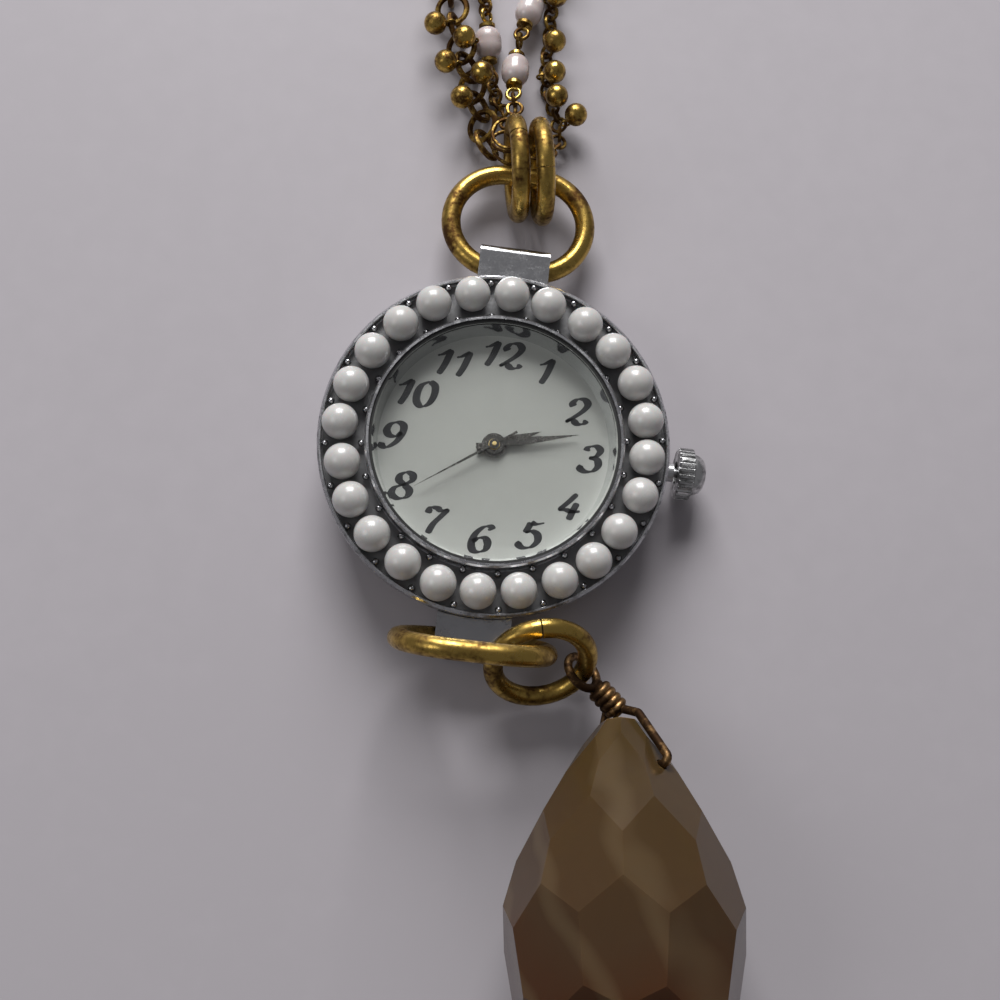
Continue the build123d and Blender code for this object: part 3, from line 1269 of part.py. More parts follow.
def coil_path():
    """The wound part of the neck chain."""
    return Wire([Edge.make_three_point_arc(*points) for points in coil_arcs()])


def lead_path(side):
    """The neck chain between the coil and a gather ring, in the order it is wound."""
    arcs = coil_arcs()
    at = beyond_rings(GATHER_LEFT_AT if side < 0 else GATHER_RIGHT_AT)
    joint = arcs[0][0] if side < 0 else arcs[-1][2]
    turn = LEAD_START_TURN if side < 0 else HALF_TURN_ANGLE - LEAD_START_TURN
    x, y, _ = polar(GATHER_R + GATHER_WIRE_R + NECK_R / 2, turn)
    start = Vector(at.X + x, at.Y + y, LEAD_START_Z)
    points = [start, joint - Vector(0, LEAD_DROP, 0), joint]
    return round_bends(points if side < 0 else points[::-1])


def neck_chain():
    """The neck chain's three stretches, each a six-sided bar as thick as the chain."""
    return {
        "necklace_lead_left": swept(lead_path(-1), NECK_R, WIRE_SIDES),
        "necklace_coil": swept(coil_path(), NECK_R, WIRE_SIDES),
        "necklace_lead_right": swept(lead_path(1), NECK_R, WIRE_SIDES),
    }


def least_gap():
    """The least space between the neck chain's turns, and the chain's length."""
    points, run = [], 0
    for path in (lead_path(-1), coil_path(), lead_path(1)):
        count = int(2 * path.length / NECK_R)
        points += [(run + path.length * n / count, path @ (n / count)) for n in range(count)]
        run += path.length
    least = min((p - q).length for i, (s, p) in enumerate(points)
                for t, q in points[i + 1:] if t - s > NEIGHBOUR_RUN)
    return least - 2 * NECK_R, run


def rolo_links():
    """The round-link strand on the left."""
    return chain_links("rolo", ROLO_R, ROLO_WIRE_R)


def fine_links():
    """The fine strand on the right."""
    return chain_links("fine", FINE_R, FINE_WIRE_R)


def part_nodes():
    """Every node of the part by name."""
    return {
        "case_body": case_body(),
        "crown_tube": crown_tube(),
        "case_back": case_back(),
        "case_back_gasket": back_gasket(),
        "bezel_ring": bezel_ring(),
        "pearls": pearls(),
        "crystal": crystal(),
        "crystal_gasket": crystal_gasket(),
        "flange_ring": flange_ring(),
        "dial": dial(),
        "movement_holder": movement_holder(),
        "main_plate": main_plate(),
        "train_bridge": train_bridge(),
        "bridge_screws": bridge_screws(),
        "battery_cell": battery_cell(),
        "battery_clip": battery_clip(),
        "circuit_board": circuit_board(),
        "quartz_can": quartz_can(),
        "motor_coil": motor_coil(),
        "stator_plate": stator_plate(),
        "rotor": rotor(),
        "intermediate_wheel": intermediate_wheel(),
        "seconds_wheel": seconds_wheel(),
        "third_wheel": third_wheel(),
        "centre_wheel": centre_wheel(),
        "minute_wheel": minute_wheel(),
        "hour_wheel": hour_wheel(),
        "hour_hand": hour_hand(),
        "minute_hand": minute_hand(),
        "seconds_hand": seconds_hand(),
        "winding_stem": winding_stem(),
        "setting_lever": setting_lever(),
        "crown": crown(),
        "bail_ring": bail_ring(),
        "lower_ring": lower_ring(),
        "jump_ring_left": upper_jump_ring(-1),
        "jump_ring_right": upper_jump_ring(1),
        "link_ring": link_ring(),
        "agate_drop": agate_drop(),
        "drop_wire": drop_wire(),
        "rolo_links": rolo_links(),
        "rolo_balls": balls_on("rolo", ROLO_R, ROLO_WIRE_R, ROLO_BALL_COUNTS,
                               ROLO_BALL_ANGLES),
        "fine_links": fine_links(),
        "fine_balls": balls_on("fine", FINE_R, FINE_WIRE_R, FINE_BALL_COUNTS,
                               FINE_BALL_ANGLES),
        "bead_links_left": chain_links("left_beads", FINE_R, FINE_WIRE_R, LEFT_BEAD_PLACES),
        "bead_links_right": chain_links("right_beads", FINE_R, FINE_WIRE_R, RIGHT_BEAD_PLACES),
        "bead_pins": bead_pins(),
        "strand_beads": strand_beads(),
        **gather_rings(),
        **neck_chain(),
    }


def main():
    """Writes one STEP file for each node."""
    os.makedirs("parts", exist_ok=True)
    for name, node in part_nodes().items():
        export_step(node, f"parts/{name}.step")
    gap, length = least_gap()
    print(f"neck chain: least gap {gap:.2f} mm, length {length:.1f} mm")


if __name__ == "__main__":
    main()
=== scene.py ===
import json
import math

import bpy
from bpy.props import FloatProperty, FloatVectorProperty, IntProperty, PointerProperty
from mathutils import Matrix, Vector


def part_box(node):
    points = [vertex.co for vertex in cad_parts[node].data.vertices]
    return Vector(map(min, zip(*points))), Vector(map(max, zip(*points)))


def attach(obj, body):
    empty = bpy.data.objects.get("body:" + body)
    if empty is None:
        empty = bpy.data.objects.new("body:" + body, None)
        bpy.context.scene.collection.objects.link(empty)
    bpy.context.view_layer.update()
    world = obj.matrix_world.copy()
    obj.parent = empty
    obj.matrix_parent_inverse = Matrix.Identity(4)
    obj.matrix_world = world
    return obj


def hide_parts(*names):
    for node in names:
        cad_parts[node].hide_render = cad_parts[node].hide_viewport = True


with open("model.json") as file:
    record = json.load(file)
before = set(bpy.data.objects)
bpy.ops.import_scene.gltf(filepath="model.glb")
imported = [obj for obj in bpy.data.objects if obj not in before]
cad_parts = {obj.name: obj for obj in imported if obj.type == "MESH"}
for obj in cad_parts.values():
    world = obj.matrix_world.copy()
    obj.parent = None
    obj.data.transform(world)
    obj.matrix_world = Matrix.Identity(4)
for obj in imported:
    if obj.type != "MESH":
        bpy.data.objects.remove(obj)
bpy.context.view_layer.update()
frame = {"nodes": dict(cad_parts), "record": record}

bl_info = {
    "name": "Pendant Watch",
    "version": (1, 0, 0),
    "blender": (4, 5, 0),
    "location": "View3D > Sidebar > Watch",
    "description": "Finishes and fine pieces of a pearl-set pendant watch",
    "category": "Object",
}

MM = 0.001

# The bezel and dial as the frame has them
PEARL_LOW, PEARL_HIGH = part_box("pearls")
BEZEL_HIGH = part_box("bezel_ring")[1]
DIAL_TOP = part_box("dial")[1].z
PEARL_R = 1.5 * MM
PEARL_FLAT = 0.1 * MM
PEARL_CIRCLE_R = PEARL_HIGH.y - PEARL_R
CHANNEL_Z = PEARL_LOW.z
CHANNEL_OUT_R = BEZEL_HIGH.x - 0.35 * MM
CHANNEL_IN_R = PEARL_CIRCLE_R - PEARL_R - 0.49 * MM
# How far the channel's blackening runs past its rims, and the width over which it fades
BLACKENING_PAST = 0.02 * MM
BLACKENING_FADE = 0.12 * MM

# Fineness and seeds of the pieces that Geometry Nodes grow
PEARL_SIDES = 40
PEARL_SEED = 11
GRAIN_SIDES = 12
GRAIN_SEED = 2
GRAIN_PLAY = 0.03 * MM
GRAIN_RISE_OUT = 0.55 * MM
GRAIN_RISE_IN = 0.5 * MM
BALL_TURN = 6.28
BALL_TURN_SEED = 3
LINK_SEED = 5
LINK_SIDES = 12
WIRE_SIDES = 6
LINK_STRAY = 0.22

# The neck chain's route, repeated from the source of the solids
RINGS_Y = 25.2
COIL_AT = (-4.0, 42.3, 0.85)
COIL_OUTER_R = 13.25
COIL_PITCH = 2.1
COIL_HALF_TURNS = 8
COIL_RISE = 2.1
LEAD_DROP = 7.0
GATHERS = ((-7.8, 24.6), (0.6, 25.0))
LEAD_START_R = 2.72
LEAD_START_TURNS = (120.0, 60.0)
LEAD_START_Z = 0.9
LEAD_SHARES = (0.35, 0.72)
LEAD_LAST_SHARE = 0.55
POINTS_PER_HALF_TURN = 10
LINE_STEPS = 4

# Numerals: the number and the place of its middle on the dial, in millimetres
NUMERALS = (("12", -0.1, 8.1), ("1", 3.85, 7.1), ("2", 6.8, 3.9), ("3", 8.3, -0.1), ("4", 6.85, -4.4),
            ("5", 3.85, -7.2), ("6", -0.2, -8.0), ("7", -4.2, -6.95), ("8", -7.15, -4.3), ("9", -8.45, -0.1),
            ("10", -7.0, 3.8), ("11", -4.05, 6.85))
# Pen strokes of each digit, in shares of its height
STROKES = {
    "0": (((0.34, 0.99), (0.12, 0.82), (0.05, 0.5), (0.12, 0.16), (0.32, 0.01), (0.52, 0.16), (0.6, 0.5),
           (0.54, 0.84), (0.34, 0.99)),),
    "1": (((0.02, 0.72), (0.18, 0.79), (0.4, 0.99)), ((0.4, 0.99), (0.36, 0.6), (0.31, 0.3), (0.22, 0.0))),
    "2": (((0.14, 0.68), (0.08, 0.8), (0.2, 0.96), (0.42, 0.98), (0.57, 0.82), (0.5, 0.58), (0.28, 0.3),
           (0.02, 0.05)), ((0.02, 0.05), (0.2, 0.14), (0.42, 0.02), (0.6, 0.06), (0.68, 0.2))),
    "3": (((0.1, 0.78), (0.14, 0.93), (0.36, 1.0), (0.54, 0.86), (0.46, 0.64), (0.24, 0.54)),
          ((0.24, 0.54), (0.5, 0.5), (0.6, 0.28), (0.48, 0.06), (0.24, 0.0), (0.05, 0.1), (0.08, 0.22))),
    "4": (((0.46, 1.0), (0.26, 0.66), (0.02, 0.32)), ((0.02, 0.32), (0.22, 0.36), (0.45, 0.32), (0.7, 0.36)),
          ((0.54, 0.66), (0.47, 0.34), (0.42, 0.0))),
    "5": (((0.24, 0.96), (0.42, 0.92), (0.66, 1.0)), ((0.24, 0.96), (0.2, 0.76), (0.15, 0.56)),
          ((0.15, 0.56), (0.34, 0.64), (0.54, 0.54), (0.6, 0.3), (0.46, 0.07), (0.22, 0.0), (0.04, 0.1),
           (0.08, 0.21))),
    "6": (((0.6, 0.86), (0.5, 0.98), (0.3, 0.92), (0.12, 0.66), (0.07, 0.32), (0.17, 0.06), (0.36, 0.0),
           (0.56, 0.12), (0.58, 0.36), (0.44, 0.53), (0.24, 0.5), (0.1, 0.34)),),
    "7": (((0.06, 0.74), (0.1, 0.95), (0.28, 0.97), (0.46, 0.9), (0.66, 0.98)),
          ((0.66, 0.98), (0.48, 0.66), (0.32, 0.36), (0.24, 0.0))),
    "8": (((0.35, 0.54), (0.16, 0.68), (0.16, 0.88), (0.34, 1.0), (0.54, 0.92), (0.56, 0.72), (0.36, 0.54),
           (0.1, 0.38), (0.06, 0.14), (0.3, 0.0), (0.55, 0.1), (0.58, 0.34), (0.35, 0.54)),),
    "9": (((0.56, 0.64), (0.42, 0.47), (0.2, 0.48), (0.07, 0.66), (0.14, 0.9), (0.36, 1.0), (0.56, 0.88),
           (0.58, 0.56), (0.46, 0.24), (0.24, 0.02), (0.06, 0.06), (0.06, 0.18)),),
}
DIGIT_WIDTH = 0.66
DIGIT_SPACING = 0.62
STROKE_STEPS = 8
STROKE_END = 0.55
PRINT_RISE = 0.012 * MM

# The stage, in metres: half the table's width, each lamp's place and width, and the camera's place
TABLE_HALF = 4.0
KEY_AT = (-0.1, 0.5, 0.34)
KEY_WIDTH = 0.36
FILL_AT = (-0.55, -0.12, 0.55)
FILL_WIDTH = 0.35
SKY_COLOUR = (0.93, 0.92, 0.96, 1)
WALL_STRENGTH = 0.9
CAMERA_AT = Vector((-3.762, -31.369, 119.912)) * MM
SENSOR_WIDTH = 36.0
CLIP_START = 0.005

# Tarnish: the fine grain's share in it, the height at which full cover starts, and its soft edge
GRAIN_SHARE = 0.35
COVER_TOP = 1.02
COVER_EDGE = 0.22


class PendantPearls(bpy.types.PropertyGroup):
    """The pearls of the bezel."""
    radius: FloatProperty(name="Radius", description="Radius of one pearl", default=PEARL_R, unit="LENGTH")
    count: IntProperty(name="Count", description="Pearls in the ring", default=24, min=3)
    play: FloatProperty(name="Play", description="How far a pearl sits off its even place",
                        default=0.11 * MM, unit="LENGTH")
    grain: FloatProperty(name="Grain", description="Radius of the cast grains between two pearls",
                         default=0.3 * MM, unit="LENGTH")


class PendantDial(bpy.types.PropertyGroup):
    """The numerals printed on the dial."""
    height: FloatProperty(name="Height", description="Height of a numeral", default=2.3 * MM, unit="LENGTH")
    broad: FloatProperty(name="Broad stroke", description="Widest stroke, as a share of the height",
                         default=0.25, subtype="FACTOR")
    fine: FloatProperty(name="Fine stroke", description="Thinnest stroke, as a share of the height",
                        default=0.07, subtype="FACTOR")
    width: FloatProperty(name="Width", description="Spread of a numeral beside its height", default=1.14,
                         subtype="FACTOR")
    slant: FloatProperty(name="Slant", description="Lean of the numerals", default=math.radians(9),
                         subtype="ANGLE")
    pen: FloatProperty(name="Pen angle", description="Angle at which the broad pen is held",
                       default=math.radians(22), subtype="ANGLE")


class PendantChain(bpy.types.PropertyGroup):
    """The neck chain."""
    diameter: FloatProperty(name="Diameter", description="Outer diameter of the chain", default=1.6 * MM,
                            unit="LENGTH")
    wire: FloatProperty(name="Wire", description="Radius of a link's wire", default=0.17 * MM, unit="LENGTH")
    pitch: FloatProperty(name="Pitch", description="Distance between two links", default=0.95 * MM,
                         unit="LENGTH")


class PendantColours(bpy.types.PropertyGroup):
    """Colours of the finishes."""
    gold: FloatVectorProperty(name="Gold", description="Rubbed antique gold of the rings", subtype="COLOR",
                              default=(0.50, 0.335, 0.085))
    tarnish: FloatVectorProperty(name="Tarnish", description="Dark tarnish in the gold", subtype="COLOR",
                                 default=(0.085, 0.042, 0.014))
    silver: FloatVectorProperty(name="Silver", description="Plating of the case", subtype="COLOR",
                                default=(0.62, 0.62, 0.64))
    blackening: FloatVectorProperty(name="Blackening", description="Dark antiquing in the bezel's channel",
                                    subtype="COLOR", default=(0.19, 0.188, 0.184))
    pearl: FloatVectorProperty(name="Pearl", description="Body colour of the pearls", subtype="COLOR",
                               default=(0.54, 0.53, 0.515))
    dial: FloatVectorProperty(name="Dial", description="Dial paint", subtype="COLOR",
                              default=(0.345, 0.35, 0.325))
    ink: FloatVectorProperty(name="Ink", description="Print of the numerals", subtype="COLOR",
                             default=(0.012, 0.012, 0.014))
    stone: FloatVectorProperty(name="Stone", description="Middle colour of the stone", subtype="COLOR",
                               default=(0.062, 0.034, 0.016))
    floor: FloatVectorProperty(name="Floor", description="Table top", subtype="COLOR",
                               default=(0.440, 0.412, 0.438))


class PendantStage(bpy.types.PropertyGroup):
    """Light and camera."""
    key: FloatProperty(name="Key", description="Power of the large lamp in watts", default=4.9)
    fill: FloatProperty(name="Fill", description="Power of the weaker lamp in watts", default=0.85)
    sky: FloatProperty(name="Sky", description="Strength of the light from all round", default=0.17)
    azimuth: FloatProperty(name="Azimuth", description="Camera's turn about the watch",
                           default=math.radians(-10.113), subtype="ANGLE")
    elevation: FloatProperty(name="Elevation", description="Camera's height above the table",
                             default=math.radians(76.732), subtype="ANGLE")
    roll: FloatProperty(name="Roll", description="Camera's turn about its own line of sight",
                        default=math.radians(6.324), subtype="ANGLE")
    lens: FloatProperty(name="Lens", description="Focal length in millimetres", default=51.28)


# Node and shader helpers
def new_node(tree, kind, inputs=None, **settings):
    """A node with its settings, and its inputs set by name or number, or joined to another socket."""
    node = tree.nodes.new(kind)
    for name, value in settings.items():
        setattr(node, name, value)
    for name, value in (inputs or {}).items():
        if isinstance(value, bpy.types.NodeSocket):
            tree.links.new(value, node.inputs[name])
        else:
            node.inputs[name].default_value = value
    return node


def new_group(name, kind, inputs, outputs):
    """An empty node group with its sockets, and its input and output nodes."""
    tree = bpy.data.node_groups.new(name, kind)
    for in_out, sockets in (("INPUT", inputs), ("OUTPUT", outputs)):
        for label, socket_kind, default in sockets:
            socket = tree.interface.new_socket(label, in_out=in_out, socket_type=socket_kind)
            if default is not None:
                socket.default_value = default
    return tree, tree.nodes.new("NodeGroupInput"), tree.nodes.new("NodeGroupOutput")


def ramp(tree, factor, stops):
    """A colour ramp whose stops are pairs of a place and a grey or a colour."""
    node = new_node(tree, "ShaderNodeValToRGB", {"Fac": factor})
    elements = node.color_ramp.elements
    while len(elements) < len(stops):
        elements.new(0.5)
    for element, (place, value) in zip(elements, stops):
        element.position = place
        element.color = (*(value if isinstance(value, tuple) else (value,) * 3), 1)
    return node.outputs["Color"]


def tarnish_group():
    """Patches of tarnish broken up by fine rubbing: a mask and a height."""
    tree, ins, outs = new_group("Tarnish", "ShaderNodeTree", (
        ("Patch Scale", "NodeSocketFloat", 500.0), ("Grain Scale", "NodeSocketFloat", 3000.0),
        ("Cover", "NodeSocketFloat", 0.5)),
        (("Mask", "NodeSocketFloat", None), ("Height", "NodeSocketFloat", None)))
    place = new_node(tree, "ShaderNodeTexCoord").outputs["Object"]
    patch = new_node(tree, "ShaderNodeTexNoise", {"Vector": place, "Scale": ins.outputs["Patch Scale"],
                                                  "Detail": 5.0, "Roughness": 0.62})
    grain = new_node(tree, "ShaderNodeTexNoise", {"Vector": place, "Scale": ins.outputs["Grain Scale"],
                                                  "Detail": 2.0, "Roughness": 0.5})
    both = new_node(tree, "ShaderNodeMath",
                    {0: grain.outputs["Fac"], 1: GRAIN_SHARE, 2: patch.outputs["Fac"]},
                    operation="MULTIPLY_ADD")
    low = new_node(tree, "ShaderNodeMath", {0: COVER_TOP, 1: ins.outputs["Cover"]}, operation="SUBTRACT")
    high = new_node(tree, "ShaderNodeMath", {0: low.outputs[0], 1: COVER_EDGE}, operation="ADD")
    mask = new_node(tree, "ShaderNodeMapRange", {"Value": both.outputs[0], "From Min": low.outputs[0],
                                                 "From Max": high.outputs[0]})
    tree.links.new(mask.outputs["Result"], outs.inputs["Mask"])
    tree.links.new(both.outputs[0], outs.inputs["Height"])
    return tree


def brushing_group():
    """Fine strokes along one direction: a mask and a height."""
    tree, ins, outs = new_group("Brushing", "ShaderNodeTree", (
        ("Stretch", "NodeSocketVector", (300.0, 9000.0, 9000.0)), ("Detail", "NodeSocketFloat", 3.0)),
        (("Mask", "NodeSocketFloat", None), ("Height", "NodeSocketFloat", None)))
    place = new_node(tree, "ShaderNodeTexCoord").outputs["Object"]
    wide = new_node(tree, "ShaderNodeVectorMath", {0: place, 1: ins.outputs["Stretch"]},
                    operation="MULTIPLY")
    noise = new_node(tree, "ShaderNodeTexNoise", {"Vector": wide.outputs[0], "Scale": 1.0,
                                                  "Detail": ins.outputs["Detail"], "Roughness": 0.6})
    tree.links.new(ramp(tree, noise.outputs["Fac"], ((0.35, 0.0), (0.65, 1.0))), outs.inputs["Mask"])
    tree.links.new(noise.outputs["Fac"], outs.inputs["Height"])
    return tree


def ring_band_group():
    """A ring about Z between two radii under a height: one inside it, and nothing outside."""
    tree, ins, outs = new_group("Ring Band", "ShaderNodeTree", (
        ("Inner Radius", "NodeSocketFloat", 0.01), ("Outer Radius", "NodeSocketFloat", 0.02),
        ("Top", "NodeSocketFloat", 1.0), ("Soft", "NodeSocketFloat", 0.0001)),
        (("Mask", "NodeSocketFloat", None),))
    place = new_node(tree, "ShaderNodeTexCoord").outputs["Object"]
    axes = new_node(tree, "ShaderNodeSeparateXYZ", {"Vector": place})
    flat = new_node(tree, "ShaderNodeCombineXYZ", {"X": axes.outputs["X"], "Y": axes.outputs["Y"]})
    radius = new_node(tree, "ShaderNodeVectorMath", {0: flat.outputs[0]}, operation="LENGTH")

    def edge(value, at, rising):
        gap = new_node(tree, "ShaderNodeMath", {0: value if rising else at, 1: at if rising else value},
                       operation="SUBTRACT")
        return new_node(tree, "ShaderNodeMath", {0: gap.outputs[0], 1: ins.outputs["Soft"]},
                        operation="DIVIDE", use_clamp=True).outputs[0]

    inner = edge(radius.outputs["Value"], ins.outputs["Inner Radius"], True)
    outer = edge(radius.outputs["Value"], ins.outputs["Outer Radius"], False)
    under = edge(axes.outputs["Z"], ins.outputs["Top"], False)
    ring = new_node(tree, "ShaderNodeMath", {0: inner, 1: outer}, operation="MULTIPLY")
    mask = new_node(tree, "ShaderNodeMath", {0: ring.outputs[0], 1: under}, operation="MULTIPLY")
    tree.links.new(mask.outputs[0], outs.inputs["Mask"])
    return tree


def built(name, maker):
    """A node tree, made the first time that it is asked for."""
    return bpy.data.node_groups.get(name) or maker()


def group_node(tree, name, maker, inputs=None):
    """A group placed in a material with its own values."""
    node = tree.nodes.new("ShaderNodeGroup")
    node.node_tree = built(name, maker)
    for label, value in (inputs or {}).items():
        node.inputs[label].default_value = value
    return node


def mixed(tree, factor, first, second):
    """Two colours mixed by a mask."""
    node = new_node(tree, "ShaderNodeMix", {"Factor": factor}, data_type="RGBA")
    for place, colour in ((6, first), (7, second)):
        if isinstance(colour, bpy.types.NodeSocket):
            tree.links.new(colour, node.inputs[place])
        else:
            node.inputs[place].default_value = (*colour[:3], 1)
    return node.outputs[2]


def ranged(tree, value, low, high):
    """A mask turned into a value between two ends."""
    return new_node(tree, "ShaderNodeMapRange", {"Value": value, "To Min": low,
                                                 "To Max": high}).outputs["Result"]


def bumped(tree, height, depth):
    """A normal from a height that is as deep as depth in metres."""
    return new_node(tree, "ShaderNodeBump", {"Height": height, "Distance": depth,
                                             "Strength": 1.0}).outputs["Normal"]


def shaded(colour, share):
    """A colour at a share of its own light."""
    return tuple(share * c for c in colour[:3])


def new_finish(name):
    """An empty material with its Principled shader."""
    material = bpy.data.materials.new(name)
    material.use_nodes = True
    tree = material.node_tree
    return material, tree, tree.nodes["Principled BSDF"]


def set_shader(tree, shader, **values):
    """Sets the shader's sockets, or joins them. Names have _ for a space."""
    for label, value in values.items():
        socket = shader.inputs[label.replace("_", " ")]
        if isinstance(value, bpy.types.NodeSocket):
            tree.links.new(value, socket)
        elif socket.type == "RGBA":
            socket.default_value = (*value[:3], 1)
        else:
            socket.default_value = value


# Finishes
def tarnished_metal(name, bright, dark, cover=0.45, patch=420.0, grain=2600.0, rough=(0.26, 0.55),
                    depth=0.00003):
    """A rubbed metal with dark tarnish left in patches."""
    material, tree, shader = new_finish(name)
    wear = group_node(tree, "Tarnish", tarnish_group,
                      {"Patch Scale": patch, "Grain Scale": grain, "Cover": cover})
    set_shader(tree, shader, Metallic=1.0, Base_Color=mixed(tree, wear.outputs["Mask"], bright, dark),
               Roughness=ranged(tree, wear.outputs["Mask"], *rough),
               Normal=bumped(tree, wear.outputs["Height"], depth))
    return material


def brushed_metal(name, colour, stretch, rough=(0.24, 0.38), depth=0.000006):
    """A bright metal with fine brushed strokes."""
    material, tree, shader = new_finish(name)
    strokes = group_node(tree, "Brushing", brushing_group, {"Stretch": stretch})
    set_shader(tree, shader, Metallic=1.0,
               Base_Color=mixed(tree, strokes.outputs["Mask"], shaded(colour, 0.86), colour),
               Roughness=ranged(tree, strokes.outputs["Mask"], *rough),
               Normal=bumped(tree, strokes.outputs["Height"], depth))
    return material


def antiqued_silver(name, colours):
    """Cast plated metal whose channel for the pearls is blackened."""
    material, tree, shader = new_finish(name)
    wear = group_node(tree, "Tarnish", tarnish_group,
                      {"Patch Scale": 900.0, "Grain Scale": 4200.0, "Cover": 0.40})
    channel = group_node(tree, "Ring Band", ring_band_group,
                         {"Inner Radius": CHANNEL_IN_R - BLACKENING_PAST,
                          "Outer Radius": CHANNEL_OUT_R + BLACKENING_PAST,
                          "Top": BEZEL_HIGH.z, "Soft": BLACKENING_FADE})
    silver = mixed(tree, wear.outputs["Mask"], colours.silver, shaded(colours.silver, 0.38))
    dark = mixed(tree, wear.outputs["Height"], colours.blackening, shaded(colours.silver, 0.34))
    rough = new_node(tree, "ShaderNodeMath", {0: wear.outputs["Mask"], 1: channel.outputs["Mask"]},
                     operation="MAXIMUM")
    set_shader(tree, shader, Metallic=1.0, Base_Color=mixed(tree, channel.outputs["Mask"], silver, dark),
               Roughness=ranged(tree, rough.outputs[0], 0.2, 0.5),
               Normal=bumped(tree, wear.outputs["Height"], 0.00003))
    return material


def plated_case(name, colours):
    """Smooth plated metal with soft dull patches."""
    material, tree, shader = new_finish(name)
    wear = group_node(tree, "Tarnish", tarnish_group,
                      {"Patch Scale": 260.0, "Grain Scale": 5200.0, "Cover": 0.34})
    set_shader(tree, shader, Metallic=1.0,
               Base_Color=mixed(tree, wear.outputs["Mask"], shaded(colours.silver, 0.72),
                                shaded(colours.silver, 0.42)),
               Roughness=ranged(tree, wear.outputs["Mask"], 0.2, 0.36),
               Normal=bumped(tree, wear.outputs["Height"], 0.00001))
    return material


def nacre(name, colour, tint, gloss=0.24):
    """Pearl or glass bead: a soft body under a clear, slightly cloudy skin."""
    material, tree, shader = new_finish(name)
    cloud = group_node(tree, "Tarnish", tarnish_group,
                       {"Patch Scale": 340.0, "Grain Scale": 1500.0, "Cover": 0.5})
    set_shader(tree, shader, Base_Color=mixed(tree, cloud.outputs["Mask"], colour, tint),
               Roughness=ranged(tree, cloud.outputs["Mask"], gloss, gloss + 0.12),
               Normal=bumped(tree, cloud.outputs["Height"], 0.00001),
               Coat_Weight=0.45, Coat_Roughness=0.12, Subsurface_Weight=0.12, Subsurface_Scale=0.001)
    return material


def painted(name, colour, rough=0.45, metallic=0.0, depth=0.000004, change=0.92, coat=0.0):
    """Paint, plastic or rubber with a faint unevenness."""
    material, tree, shader = new_finish(name)
    grain = group_node(tree, "Tarnish", tarnish_group,
                       {"Patch Scale": 180.0, "Grain Scale": 6000.0, "Cover": 0.5})
    set_shader(tree, shader, Metallic=metallic, Coat_Weight=coat,
               Base_Color=mixed(tree, grain.outputs["Mask"], colour, shaded(colour, change)),
               Roughness=ranged(tree, grain.outputs["Mask"], rough, rough + 0.08),
               Normal=bumped(tree, grain.outputs["Height"], depth))
    return material


def clear_glass(name):
    """The flat glass. Lamp light passes it, so that the dial under it stays bright."""
    material, tree, shader = new_finish(name)
    smear = group_node(tree, "Tarnish", tarnish_group,
                       {"Patch Scale": 220.0, "Grain Scale": 900.0, "Cover": 0.42})
    set_shader(tree, shader, Base_Color=(0.97, 0.985, 0.98), Transmission_Weight=1.0, IOR=1.45,
               Roughness=ranged(tree, smear.outputs["Mask"], 0.0, 0.03))
    clear = tree.nodes.new("ShaderNodeBsdfTransparent")
    path = tree.nodes.new("ShaderNodeLightPath")
    either = new_node(tree, "ShaderNodeMath", {0: path.outputs["Is Shadow Ray"],
                                               1: path.outputs["Is Diffuse Ray"]}, operation="MAXIMUM")
    mix = new_node(tree, "ShaderNodeMixShader", {0: either.outputs[0], 1: shader.outputs[0],
                                                 2: clear.outputs[0]})
    tree.links.new(mix.outputs[0], tree.nodes["Material Output"].inputs["Surface"])
    return material


def agate(name, colours):
    """The faceted stone: cloudy brown, greener at its top, reddish low on its belly, with pale bands."""
    material, tree, shader = new_finish(name)
    low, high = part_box("agate_drop")
    top = Vector((0.5 * (low.x + high.x), high.y, low.z))
    run = high.y - low.y
    place = new_node(tree, "ShaderNodeTexCoord").outputs["Object"]
    along = new_node(tree, "ShaderNodeMapping", {"Vector": place, "Location": -top}, vector_type="POINT")
    axes = new_node(tree, "ShaderNodeSeparateXYZ", {"Vector": along.outputs[0]})
    warp = new_node(tree, "ShaderNodeTexNoise", {"Vector": place, "Scale": 95.0, "Detail": 3.0})
    down = new_node(tree, "ShaderNodeMath", {0: axes.outputs["Y"], 1: -1.0 / run}, operation="MULTIPLY")
    bent = new_node(tree, "ShaderNodeMath", {0: warp.outputs["Fac"], 1: 0.35, 2: down.outputs[0]},
                    operation="MULTIPLY_ADD")
    body = ramp(tree, bent.outputs[0], ((0.10, (0.056, 0.037, 0.012)), (0.42, (0.062, 0.036, 0.013)),
                                        (0.72, colours.stone[:]), (1.0, (0.062, 0.018, 0.006))))
    bands = new_node(tree, "ShaderNodeTexWave", {"Vector": place, "Scale": 75.0, "Distortion": 3.5,
                                                 "Detail": 2.0, "Detail Scale": 1.2},
                     wave_type="BANDS", bands_direction="DIAGONAL")
    pale = ramp(tree, bands.outputs["Fac"], ((0.72, 0.0), (1.0, 0.35)))
    cloud = group_node(tree, "Tarnish", tarnish_group,
                       {"Patch Scale": 60.0, "Grain Scale": 700.0, "Cover": 0.5})
    mottled = mixed(tree, ranged(tree, cloud.outputs["Mask"], 0.0, 0.3), body, (0.045, 0.025, 0.013))
    set_shader(tree, shader, Base_Color=mixed(tree, pale, mottled, (0.125, 0.088, 0.046)),
               Roughness=ranged(tree, cloud.outputs["Height"], 0.10, 0.22), Subsurface_Weight=0.35,
               Subsurface_Radius=(1.0, 0.55, 0.3), Subsurface_Scale=0.003, Specular_IOR_Level=0.22,
               Normal=bumped(tree, cloud.outputs["Height"], 0.00001))
    return material


